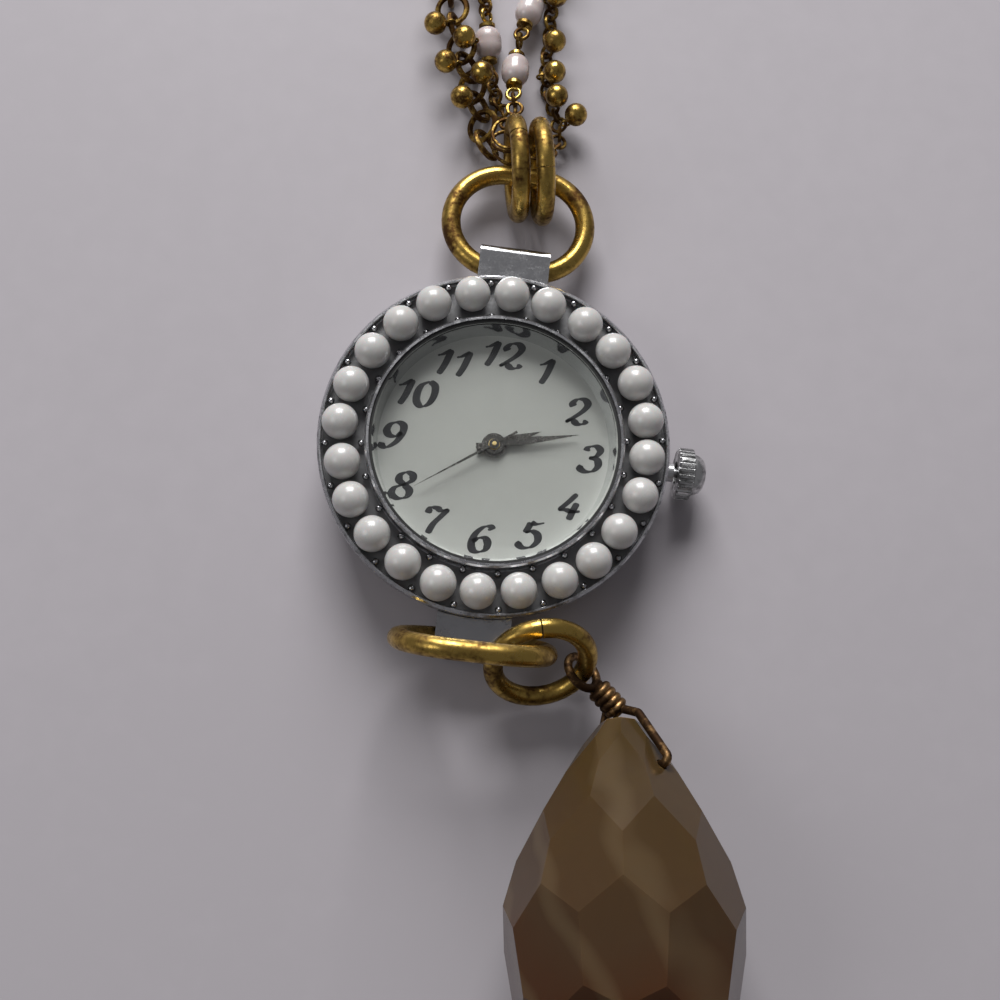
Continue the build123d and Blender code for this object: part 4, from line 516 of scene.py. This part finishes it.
def wound_copper(name, colour):
    """Enamelled wire wound closely along X, with painted shade darkening the grooves between the turns."""
    material, tree, shader = new_finish(name)
    place = new_node(tree, "ShaderNodeTexCoord").outputs["Object"]
    turns = new_node(tree, "ShaderNodeTexWave", {"Vector": place, "Scale": 3200.0, "Distortion": 0.4},
                     wave_type="BANDS", bands_direction="X")
    # Painted shade: the colour drops to 0.45 of the copper in the grooves between the turns and is full at
    # their crests
    set_shader(tree, shader, Metallic=0.8, Roughness=ranged(tree, turns.outputs["Fac"], 0.4, 0.28),
               Base_Color=mixed(tree, turns.outputs["Fac"], shaded(colour, 0.45), colour),
               Normal=bumped(tree, turns.outputs["Fac"], 0.00002))
    return material


def finishes(colours):
    """Every finish by the name of the record's material slot."""
    gold, dark = colours.gold[:], colours.tarnish[:]
    return {
        "antique_brass": tarnished_metal("antique_gold", gold, dark, cover=0.41, patch=300.0),
        "chain_gold": tarnished_metal("chain_gold_worn", gold, dark, cover=0.56, patch=900.0, grain=5200.0,
                                      rough=(0.28, 0.6)),
        "ball_brass": tarnished_metal("ball_gold_worn", shaded(gold, 1.08), dark, cover=0.45,
                                      patch=700.0, grain=5200.0, rough=(0.2, 0.5)),
        "drop_wire": tarnished_metal("wire_dark", (0.34, 0.20, 0.085), (0.05, 0.027, 0.014), cover=0.52,
                                     patch=800.0, rough=(0.3, 0.6)),
        "case_metal": plated_case("case_plating", colours),
        "bezel": antiqued_silver("bezel_antiqued", colours),
        "crown_metal": tarnished_metal("crown_plating", (0.58, 0.58, 0.58), (0.16, 0.16, 0.16), cover=0.42,
                                       patch=900.0, rough=(0.2, 0.45)),
        "polished_steel": brushed_metal("steel_brushed", (0.60, 0.60, 0.61), (400.0, 9000.0, 9000.0)),
        "bright_steel": brushed_metal("steel_bright", (0.80, 0.81, 0.82), (9000.0, 400.0, 9000.0),
                                      rough=(0.07, 0.14), depth=0.000001),
        "hands": tarnished_metal("hand_plating", (0.30, 0.29, 0.27), (0.07, 0.065, 0.06), cover=0.40,
                                 patch=1300.0, grain=6000.0, rough=(0.16, 0.4), depth=0.00001),
        "movement_brass": brushed_metal("brass_grained", (0.66, 0.50, 0.22), (900.0, 6000.0, 6000.0),
                                        rough=(0.3, 0.45)),
        "soft_iron": brushed_metal("iron_grained", (0.44, 0.44, 0.45), (5000.0, 700.0, 5000.0),
                                   rough=(0.35, 0.5)),
        "pearl": nacre("pearl_skin", colours.pearl[:], (0.50, 0.49, 0.475)),
        "bead": nacre("bead_glaze", (0.60, 0.53, 0.52), (0.50, 0.42, 0.41), gloss=0.16),
        "crystal": clear_glass("glass_flat"),
        "dial": painted("dial_paint", colours.dial[:], rough=0.38, metallic=0.15, change=0.96, coat=0.2),
        "black_rubber": painted("rubber_black", (0.02, 0.02, 0.02), rough=0.7),
        "holder_plastic": painted("holder_white", (0.70, 0.70, 0.66), rough=0.5),
        "board": painted("board_green", (0.03, 0.13, 0.06), rough=0.35, change=0.8, coat=0.4),
        "magnet": painted("magnet_dark", (0.06, 0.06, 0.065), rough=0.5, metallic=0.6, change=0.7),
        "coil_copper": wound_copper("coil_copper_wound", (0.52, 0.22, 0.09)),
        "stone": agate("agate_brown", colours),
        "ink": painted("numeral_ink", colours.ink[:], rough=0.3, change=0.7),
    }


# Nodes whose finish differs from that of the others in their slot
OWN_FINISH = {"bezel_ring": "bezel", "hour_hand": "hands", "minute_hand": "hands", "seconds_hand": "hands"}
FINISHES = {}


def finish_named(name):
    """A finish, made with all the others the first time that one is asked for."""
    if not FINISHES:
        FINISHES.update(finishes(bpy.context.scene.pendant_colours))
    return FINISHES[name]


# Mesh and Geometry Nodes helpers
def mesh_object(name, points, faces, finish):
    """A mesh object in the shared frame, with its material."""
    mesh = bpy.data.meshes.new(name)
    mesh.from_pydata([tuple(p) for p in points], [], faces)
    mesh.update()
    piece = bpy.data.objects.new(name, mesh)
    bpy.context.collection.objects.link(piece)
    mesh.materials.append(finish)
    return piece


def grown(name, base, tree, values, body):
    """The mesh that a tree grows from a base object, as a plain piece on a body."""
    holder = bpy.data.objects.new(name + "_source", base)
    bpy.context.collection.objects.link(holder)
    modifier = holder.modifiers.new("Grow", "NODES")
    modifier.node_group = tree
    for item in tree.interface.items_tree:
        if item.item_type == "SOCKET" and item.in_out == "INPUT" and item.name in values:
            modifier[item.identifier] = values[item.name]
    depsgraph = bpy.context.evaluated_depsgraph_get()
    mesh = bpy.data.meshes.new_from_object(holder.evaluated_get(depsgraph))
    bpy.data.objects.remove(holder)
    if not mesh.polygons:
        raise RuntimeError(name + " came out empty")
    mesh.name = name
    piece = bpy.data.objects.new(name, mesh)
    bpy.context.collection.objects.link(piece)
    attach(piece, body)
    return piece


def ended(tree, instances, ins, outs):
    """A tree ended with real, smooth meshes that have their finish."""
    real = new_node(tree, "GeometryNodeRealizeInstances", {"Geometry": instances.outputs[0]})
    smooth = new_node(tree, "GeometryNodeSetShadeSmooth", {"Geometry": real.outputs[0]})
    done = new_node(tree, "GeometryNodeSetMaterial", {"Geometry": smooth.outputs[0],
                                                      "Material": ins.outputs["Finish"]})
    tree.links.new(done.outputs[0], outs.inputs["Geometry"])
    return tree


def ring_tree():
    """Balls in an even ring about Z, each a little off its place."""
    tree, ins, outs = new_group("Ring Of Balls", "GeometryNodeTree", (
        ("Geometry", "NodeSocketGeometry", None), ("Count", "NodeSocketInt", 24),
        ("Ring Radius", "NodeSocketFloat", 0.01), ("Height", "NodeSocketFloat", 0.0),
        ("Start Angle", "NodeSocketFloat", 0.0), ("Ball Radius", "NodeSocketFloat", 0.001),
        ("Ball Sides", "NodeSocketInt", 32), ("Play", "NodeSocketFloat", 0.0), ("Seed", "NodeSocketInt", 7),
        ("Finish", "NodeSocketMaterial", None)), (("Geometry", "NodeSocketGeometry", None),))
    ring = new_node(tree, "GeometryNodeMeshCircle", {"Vertices": ins.outputs["Count"],
                                                     "Radius": ins.outputs["Ring Radius"]})
    lift = new_node(tree, "ShaderNodeCombineXYZ", {"Z": ins.outputs["Height"]})
    turn = new_node(tree, "ShaderNodeCombineXYZ", {"Z": ins.outputs["Start Angle"]})
    placed = new_node(tree, "GeometryNodeTransform", {"Geometry": ring.outputs["Mesh"],
                                                      "Translation": lift.outputs[0],
                                                      "Rotation": turn.outputs[0]})
    spread = new_node(tree, "ShaderNodeCombineXYZ", {"X": ins.outputs["Play"], "Y": ins.outputs["Play"]})
    under = new_node(tree, "ShaderNodeVectorMath", {0: spread.outputs[0], 1: (-1, -1, -1)},
                     operation="MULTIPLY")
    offset = new_node(tree, "FunctionNodeRandomValue", {0: under.outputs[0], 1: spread.outputs[0],
                                                        "Seed": ins.outputs["Seed"]},
                      data_type="FLOAT_VECTOR")
    shifted = new_node(tree, "GeometryNodeSetPosition", {"Geometry": placed.outputs[0],
                                                         "Offset": offset.outputs[0]})
    rings = new_node(tree, "ShaderNodeMath", {0: ins.outputs["Ball Sides"], 1: 0.5}, operation="MULTIPLY")
    ball = new_node(tree, "GeometryNodeMeshUVSphere", {"Segments": ins.outputs["Ball Sides"],
                                                       "Rings": rings.outputs[0],
                                                       "Radius": ins.outputs["Ball Radius"]})
    spin = new_node(tree, "FunctionNodeRandomValue", {0: (0, 0, 0), 1: (BALL_TURN,) * 3,
                                                      "Seed": BALL_TURN_SEED},
                    data_type="FLOAT_VECTOR")
    balls = new_node(tree, "GeometryNodeInstanceOnPoints", {"Points": shifted.outputs[0],
                                                            "Instance": ball.outputs["Mesh"],
                                                            "Rotation": spin.outputs[0]})
    return ended(tree, balls, ins, outs)


def chain_tree():
    """Round links along a line, each turned a quarter from the last."""
    tree, ins, outs = new_group("Links On A Line", "GeometryNodeTree", (
        ("Geometry", "NodeSocketGeometry", None), ("Pitch", "NodeSocketFloat", 0.001),
        ("Link Radius", "NodeSocketFloat", 0.0006), ("Wire Radius", "NodeSocketFloat", 0.0002),
        ("Seed", "NodeSocketInt", LINK_SEED), ("Finish", "NodeSocketMaterial", None)),
        (("Geometry", "NodeSocketGeometry", None),))
    line = new_node(tree, "GeometryNodeMeshToCurve", {"Mesh": ins.outputs["Geometry"]})
    even = new_node(tree, "GeometryNodeResampleCurve", {"Curve": line.outputs[0],
                                                        "Length": ins.outputs["Pitch"]}, mode="LENGTH")
    circle = new_node(tree, "GeometryNodeCurvePrimitiveCircle", {"Resolution": LINK_SIDES,
                                                                 "Radius": ins.outputs["Link Radius"]})
    wire = new_node(tree, "GeometryNodeCurvePrimitiveCircle", {"Resolution": WIRE_SIDES,
                                                               "Radius": ins.outputs["Wire Radius"]})
    link = new_node(tree, "GeometryNodeCurveToMesh", {"Curve": circle.outputs[0],
                                                      "Profile Curve": wire.outputs[0]})
    tangent = tree.nodes.new("GeometryNodeInputTangent")
    along = new_node(tree, "FunctionNodeAlignRotationToVector", {"Vector": tangent.outputs[0]}, axis="X")
    index = tree.nodes.new("GeometryNodeInputIndex")
    parity = new_node(tree, "ShaderNodeMath", {0: index.outputs[0], 1: 2.0}, operation="MODULO")
    quarter = new_node(tree, "ShaderNodeMath", {0: parity.outputs[0], 1: math.pi / 2, 2: math.pi / 4},
                       operation="MULTIPLY_ADD")
    stray = new_node(tree, "FunctionNodeRandomValue", {2: -LINK_STRAY, 3: LINK_STRAY,
                                                       "Seed": ins.outputs["Seed"]},
                     data_type="FLOAT")
    roll = new_node(tree, "ShaderNodeMath", {0: quarter.outputs[0], 1: stray.outputs[1]}, operation="ADD")
    spin = new_node(tree, "FunctionNodeAxisAngleToRotation", {"Axis": (1, 0, 0), "Angle": roll.outputs[0]})
    turned = new_node(tree, "FunctionNodeRotateRotation", {"Rotation": along.outputs[0],
                                                           "Rotate By": spin.outputs[0]},
                      rotation_space="LOCAL")
    links = new_node(tree, "GeometryNodeInstanceOnPoints", {"Points": even.outputs[0],
                                                            "Instance": link.outputs[0],
                                                            "Rotation": turned.outputs[0]})
    return ended(tree, links, ins, outs)


# The neck chain's route
def coil_points():
    """Control points of the coil: spiral in, climb a layer in the inmost half turn, spiral out."""
    radii = [COIL_OUTER_R - n * COIL_PITCH / 2 for n in range(COIL_HALF_TURNS)]
    radii = radii + [radii[-1] - COIL_PITCH / 2] + radii[::-1]
    here = Vector((COIL_AT[0] - COIL_OUTER_R, RINGS_Y + COIL_AT[1], COIL_AT[2]))
    points = [here.copy()]
    for n, radius in enumerate(radii):
        side = -1 if n % 2 else 1
        middle = here + Vector((side * radius, 0, 0))
        rise = COIL_RISE if n == COIL_HALF_TURNS else 0
        for step in range(1, POINTS_PER_HALF_TURN + 1):
            share = step / POINTS_PER_HALF_TURN
            turn = math.pi * share
            points.append(middle + Vector((-side * radius * math.cos(turn), side * radius * math.sin(turn),
                                           rise * share)))
        here = points[-1].copy()
    return points


def lead_points(side, joint):
    """Control points from a gather ring to the coil's joint."""
    x, y = GATHERS[side]
    turn = math.radians(LEAD_START_TURNS[side])
    start = Vector((x + LEAD_START_R * math.cos(turn), RINGS_Y + y + LEAD_START_R * math.sin(turn),
                    LEAD_START_Z))
    corner = joint - Vector((0, LEAD_DROP, 0))
    return [start, *(start.lerp(corner, share) for share in LEAD_SHARES), corner,
            corner.lerp(joint, LEAD_LAST_SHARE)]


def neck_line():
    """The neck chain's line as a spline object, and the points read from it."""
    coil = coil_points()
    route = lead_points(0, coil[0]) + coil + lead_points(1, coil[-1])[::-1]
    curve = bpy.data.curves.new("neck_line", "CURVE")
    curve.dimensions = "3D"
    curve.resolution_u = LINE_STEPS
    spline = curve.splines.new("NURBS")
    spline.points.add(len(route) - 1)
    for control, point in zip(spline.points, route):
        control.co = (*(point * MM), 1.0)
    spline.order_u = 3
    spline.use_endpoint_u = True
    line = bpy.data.objects.new("neck_line", curve)
    bpy.context.collection.objects.link(line)
    mesh = bpy.data.meshes.new_from_object(line)
    bpy.data.objects.remove(line)
    return mesh, [tuple(v.co) for v in mesh.vertices]


# Numerals
def smooth_stroke(points):
    """Points along a smooth pen stroke through the given ones."""
    ends = [points[0]] + list(points) + [points[-1]]
    line = []
    for a, b, c, d in zip(ends, ends[1:], ends[2:], ends[3:]):
        a, b, c, d = (Vector(p) for p in (a, b, c, d))
        for step in range(STROKE_STEPS):
            t = step / STROKE_STEPS
            line.append(0.5 * ((2 * b) + (c - a) * t + (2 * a - 5 * b + 4 * c - d) * t ** 2
                               + (3 * b - a - 3 * c + d) * t ** 3))
    return line + [Vector(points[-1])]


def pen_ribbon(line, dial):
    """A stroke's two edges: broad across the pen, fine along it."""
    edges = []
    for n, point in enumerate(line):
        before, after = line[max(n - 1, 0)], line[min(n + 1, len(line) - 1)]
        run = (after - before).normalized()
        across = abs(math.sin(math.atan2(run.y, run.x) - dial.pen))
        half = (dial.fine + (dial.broad - dial.fine) * across) / 2
        end = min(n, len(line) - 1 - n) / 2
        half *= min(1.0, STROKE_END + (1.0 - STROKE_END) * end)
        side = Vector((-run.y, run.x)) * half
        edges.append((point + side, point - side))
    return edges


def numeral_mesh(dial):
    """All numerals as flat print just over the dial."""
    points, faces = [], []
    z = DIAL_TOP + PRINT_RISE
    for text, x, y in NUMERALS:
        width = DIGIT_WIDTH + DIGIT_SPACING * (len(text) - 1)
        for place, digit in enumerate(text):
            left = -width / 2 + place * DIGIT_SPACING
            for stroke in STROKES[digit]:
                base = len(points)
                edges = pen_ribbon(smooth_stroke(stroke), dial)
                for p in (p for pair in edges for p in pair):
                    rise = p.y - 0.5
                    across = left + p.x + math.tan(dial.slant) * rise
                    points.append((x * MM + dial.height * dial.width * across,
                                   y * MM + dial.height * rise, z))
                faces += [(a, a + 1, a + 3, a + 2) for a in range(base, base + 2 * len(edges) - 2, 2)]
    return points, faces


# Operators
class PENDANT_OT_stage(bpy.types.Operator):
    """Sets the table, the lamps and the camera."""
    bl_idname = "pendant.stage"
    bl_label = "Stage"

    def execute(self, context):
        stage = context.scene.pendant_stage
        corners = [(x * TABLE_HALF, y * TABLE_HALF, 0) for x, y in ((-1, -1), (1, -1), (1, 1), (-1, 1))]
        floor = mesh_object("table_top", corners, [(0, 1, 2, 3)],
                            self.table_finish(context.scene.pendant_colours))
        lamps = [self.lamp("key", KEY_AT, KEY_WIDTH, stage.key),
                 self.lamp("fill", FILL_AT, FILL_WIDTH, stage.fill)]
        self.sky(context.scene, stage)
        camera = self.camera(context.scene, stage)
        context.scene.view_settings.view_transform = "Standard"
        return {"FINISHED"}

    def table_finish(self, colours):
        """Pale matt table top with a faint cloudiness and a few dull specks."""
        material, tree, shader = new_finish("table_paint")
        cloud = group_node(tree, "Tarnish", tarnish_group,
                           {"Patch Scale": 9.0, "Grain Scale": 400.0, "Cover": 0.5})
        pale = colours.floor[:]
        set_shader(tree, shader, Roughness=0.62, Specular_IOR_Level=0.3,
                   Base_Color=mixed(tree, cloud.outputs["Mask"], pale, shaded(pale, 0.96)),
                   Normal=bumped(tree, cloud.outputs["Height"], 0.00002))
        return material

    def lamp(self, name, at, width, power):
        """A square lamp that faces the watch."""
        data = bpy.data.lights.new(name, "AREA")
        data.size = width
        data.energy = power
        lamp = bpy.data.objects.new(name, data)
        lamp.matrix_world = (Matrix.Translation(at)
                             @ Vector(at).to_track_quat("Z", "Y").to_matrix().to_4x4())
        bpy.context.collection.objects.link(lamp)
        return lamp

    def sky(self, scene, stage):
        """Even light from all round, seen as a pale wall."""
        world = bpy.data.worlds.new("studio")
        world.use_nodes = True
        tree = world.node_tree
        path = tree.nodes.new("ShaderNodeLightPath")
        strength = new_node(tree, "ShaderNodeMapRange", {"Value": path.outputs["Is Camera Ray"],
                                                         "To Min": stage.sky, "To Max": WALL_STRENGTH})
        shader = tree.nodes["Background"]
        shader.inputs["Color"].default_value = SKY_COLOUR
        tree.links.new(strength.outputs[0], shader.inputs["Strength"])
        scene.world = world

    def camera(self, scene, stage):
        """The camera from which the watch was seen."""
        data = bpy.data.cameras.new("camera")
        data.lens = stage.lens
        data.sensor_width = SENSOR_WIDTH
        data.clip_start = CLIP_START
        back = Vector((math.sin(stage.azimuth) * math.cos(stage.elevation),
                       -math.cos(stage.azimuth) * math.cos(stage.elevation), math.sin(stage.elevation)))
        right = Vector((0, 1, 0)).cross(back).normalized()
        up = back.cross(right)
        turn = stage.roll
        x_axis = math.cos(turn) * right + math.sin(turn) * up
        y_axis = -math.sin(turn) * right + math.cos(turn) * up
        camera = bpy.data.objects.new("camera", data)
        camera.matrix_world = (Matrix.Translation(CAMERA_AT)
                               @ Matrix((x_axis, y_axis, back)).transposed().to_4x4())
        bpy.context.collection.objects.link(camera)
        scene.camera = camera
        return camera


class PENDANT_OT_neck_chain(bpy.types.Operator):
    """Lays the neck chain's links along its whole route."""
    bl_idname = "pendant.neck_chain"
    bl_label = "Neck Chain"

    def execute(self, context):
        chain = context.scene.pendant_chain
        line, path = neck_line()
        piece = grown("neck_chain_links", line, built("Links On A Line", chain_tree), {
            "Pitch": chain.pitch, "Wire Radius": chain.wire,
            "Link Radius": chain.diameter / 2 - chain.wire, "Seed": LINK_SEED,
            "Finish": finish_named("chain_gold")}, "necklace")
        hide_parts("necklace_lead_left", "necklace_coil", "necklace_lead_right")
        return {"FINISHED"}


class PENDANT_OT_finishes(bpy.types.Operator):
    """Gives every solid of the frame its finish."""
    bl_idname = "pendant.finishes"
    bl_label = "Finishes"

    def execute(self, context):
        slots = {row["node"]: row["material_slot"] for row in frame["record"]["subparts"]}
        for name, node in frame["nodes"].items():
            finish = OWN_FINISH.get(name, slots[name])
            node.data.materials.clear()
            node.data.materials.append(finish_named(finish))
        return {"FINISHED"}


class PENDANT_OT_pearls(bpy.types.Operator):
    """Sets the pearls in the bezel's channel, each a little off its even place."""
    bl_idname = "pendant.pearls"
    bl_label = "Pearls"

    def execute(self, context):
        pearls = context.scene.pendant_pearls
        tree = built("Ring Of Balls", ring_tree)
        piece = grown("pearl_row", bpy.data.meshes.new("pearl_base"), tree, {
            "Count": pearls.count, "Ring Radius": PEARL_CIRCLE_R, "Play": pearls.play, "Seed": PEARL_SEED,
            "Height": CHANNEL_Z + pearls.radius - PEARL_FLAT, "Ball Radius": pearls.radius,
            "Ball Sides": PEARL_SIDES, "Start Angle": math.pi / 2,
            "Finish": finish_named("pearl")}, "case")
        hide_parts("pearls")
        return {"FINISHED"}


class PENDANT_OT_grains(bpy.types.Operator):
    """Casts the small grains between the pearls, along both rims of the channel."""
    bl_idname = "pendant.grains"
    bl_label = "Bezel Grains"

    def execute(self, context):
        pearls = context.scene.pendant_pearls
        tree = built("Ring Of Balls", ring_tree)
        rows = (("outer", CHANNEL_OUT_R - pearls.grain, GRAIN_RISE_OUT),
                ("inner", CHANNEL_IN_R + pearls.grain, GRAIN_RISE_IN))
        for name, radius, rise in rows:
            grown("bezel_grains_" + name, bpy.data.meshes.new("grain_base"), tree, {
                "Count": pearls.count, "Ring Radius": radius, "Play": GRAIN_PLAY, "Seed": GRAIN_SEED,
                "Height": CHANNEL_Z + rise, "Ball Radius": pearls.grain, "Ball Sides": GRAIN_SIDES,
                "Start Angle": math.pi / 2 + math.pi / pearls.count,
                "Finish": finish_named("case_metal")}, "case")
        return {"FINISHED"}


class PENDANT_OT_numerals(bpy.types.Operator):
    """Prints the twelve numerals on the dial."""
    bl_idname = "pendant.numerals"
    bl_label = "Numerals"

    def execute(self, context):
        points, faces = numeral_mesh(context.scene.pendant_dial)
        piece = mesh_object("dial_numerals", points, faces, finish_named("ink"))
        for face in piece.data.polygons:
            if face.normal.z < 0:
                face.flip()
        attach(piece, "case")
        return {"FINISHED"}


class PENDANT_PT_panel(bpy.types.Panel):
    """Lists the watch's pieces and their settings."""
    bl_idname = "PENDANT_PT_panel"
    bl_label = "Pendant Watch"
    bl_space_type = "VIEW_3D"
    bl_region_type = "UI"
    bl_category = "Watch"

    def draw(self, context):
        layout = self.layout
        for operator in OPERATORS:
            layout.operator(operator.bl_idname)
        for name in SETTINGS:
            settings = getattr(context.scene, name)
            box = layout.box()
            for label in settings.__annotations__:
                box.prop(settings, label)


SETTINGS = {"pendant_pearls": PendantPearls, "pendant_dial": PendantDial, "pendant_chain": PendantChain,
            "pendant_colours": PendantColours, "pendant_stage": PendantStage}
OPERATORS = (PENDANT_OT_stage, PENDANT_OT_neck_chain, PENDANT_OT_finishes, PENDANT_OT_pearls,
             PENDANT_OT_grains, PENDANT_OT_numerals)


def register():
    """Registers the settings, the operators and the panel."""
    for name, group in SETTINGS.items():
        bpy.utils.register_class(group)
        setattr(bpy.types.Scene, name, PointerProperty(type=group))
    for kind in (*OPERATORS, PENDANT_PT_panel):
        bpy.utils.register_class(kind)


def unregister():
    """Takes away what register() adds."""
    for kind in (PENDANT_PT_panel, *reversed(OPERATORS)):
        bpy.utils.unregister_class(kind)
    for name, group in SETTINGS.items():
        delattr(bpy.types.Scene, name)
        bpy.utils.unregister_class(group)


def main():
    """Makes the stage and every piece."""
    register()
    bpy.ops.pendant.stage()
    bpy.ops.pendant.neck_chain()
    bpy.ops.pendant.finishes()
    bpy.ops.pendant.pearls()
    bpy.ops.pendant.grains()
    bpy.ops.pendant.numerals()


if __name__ == "__main__":
    main()
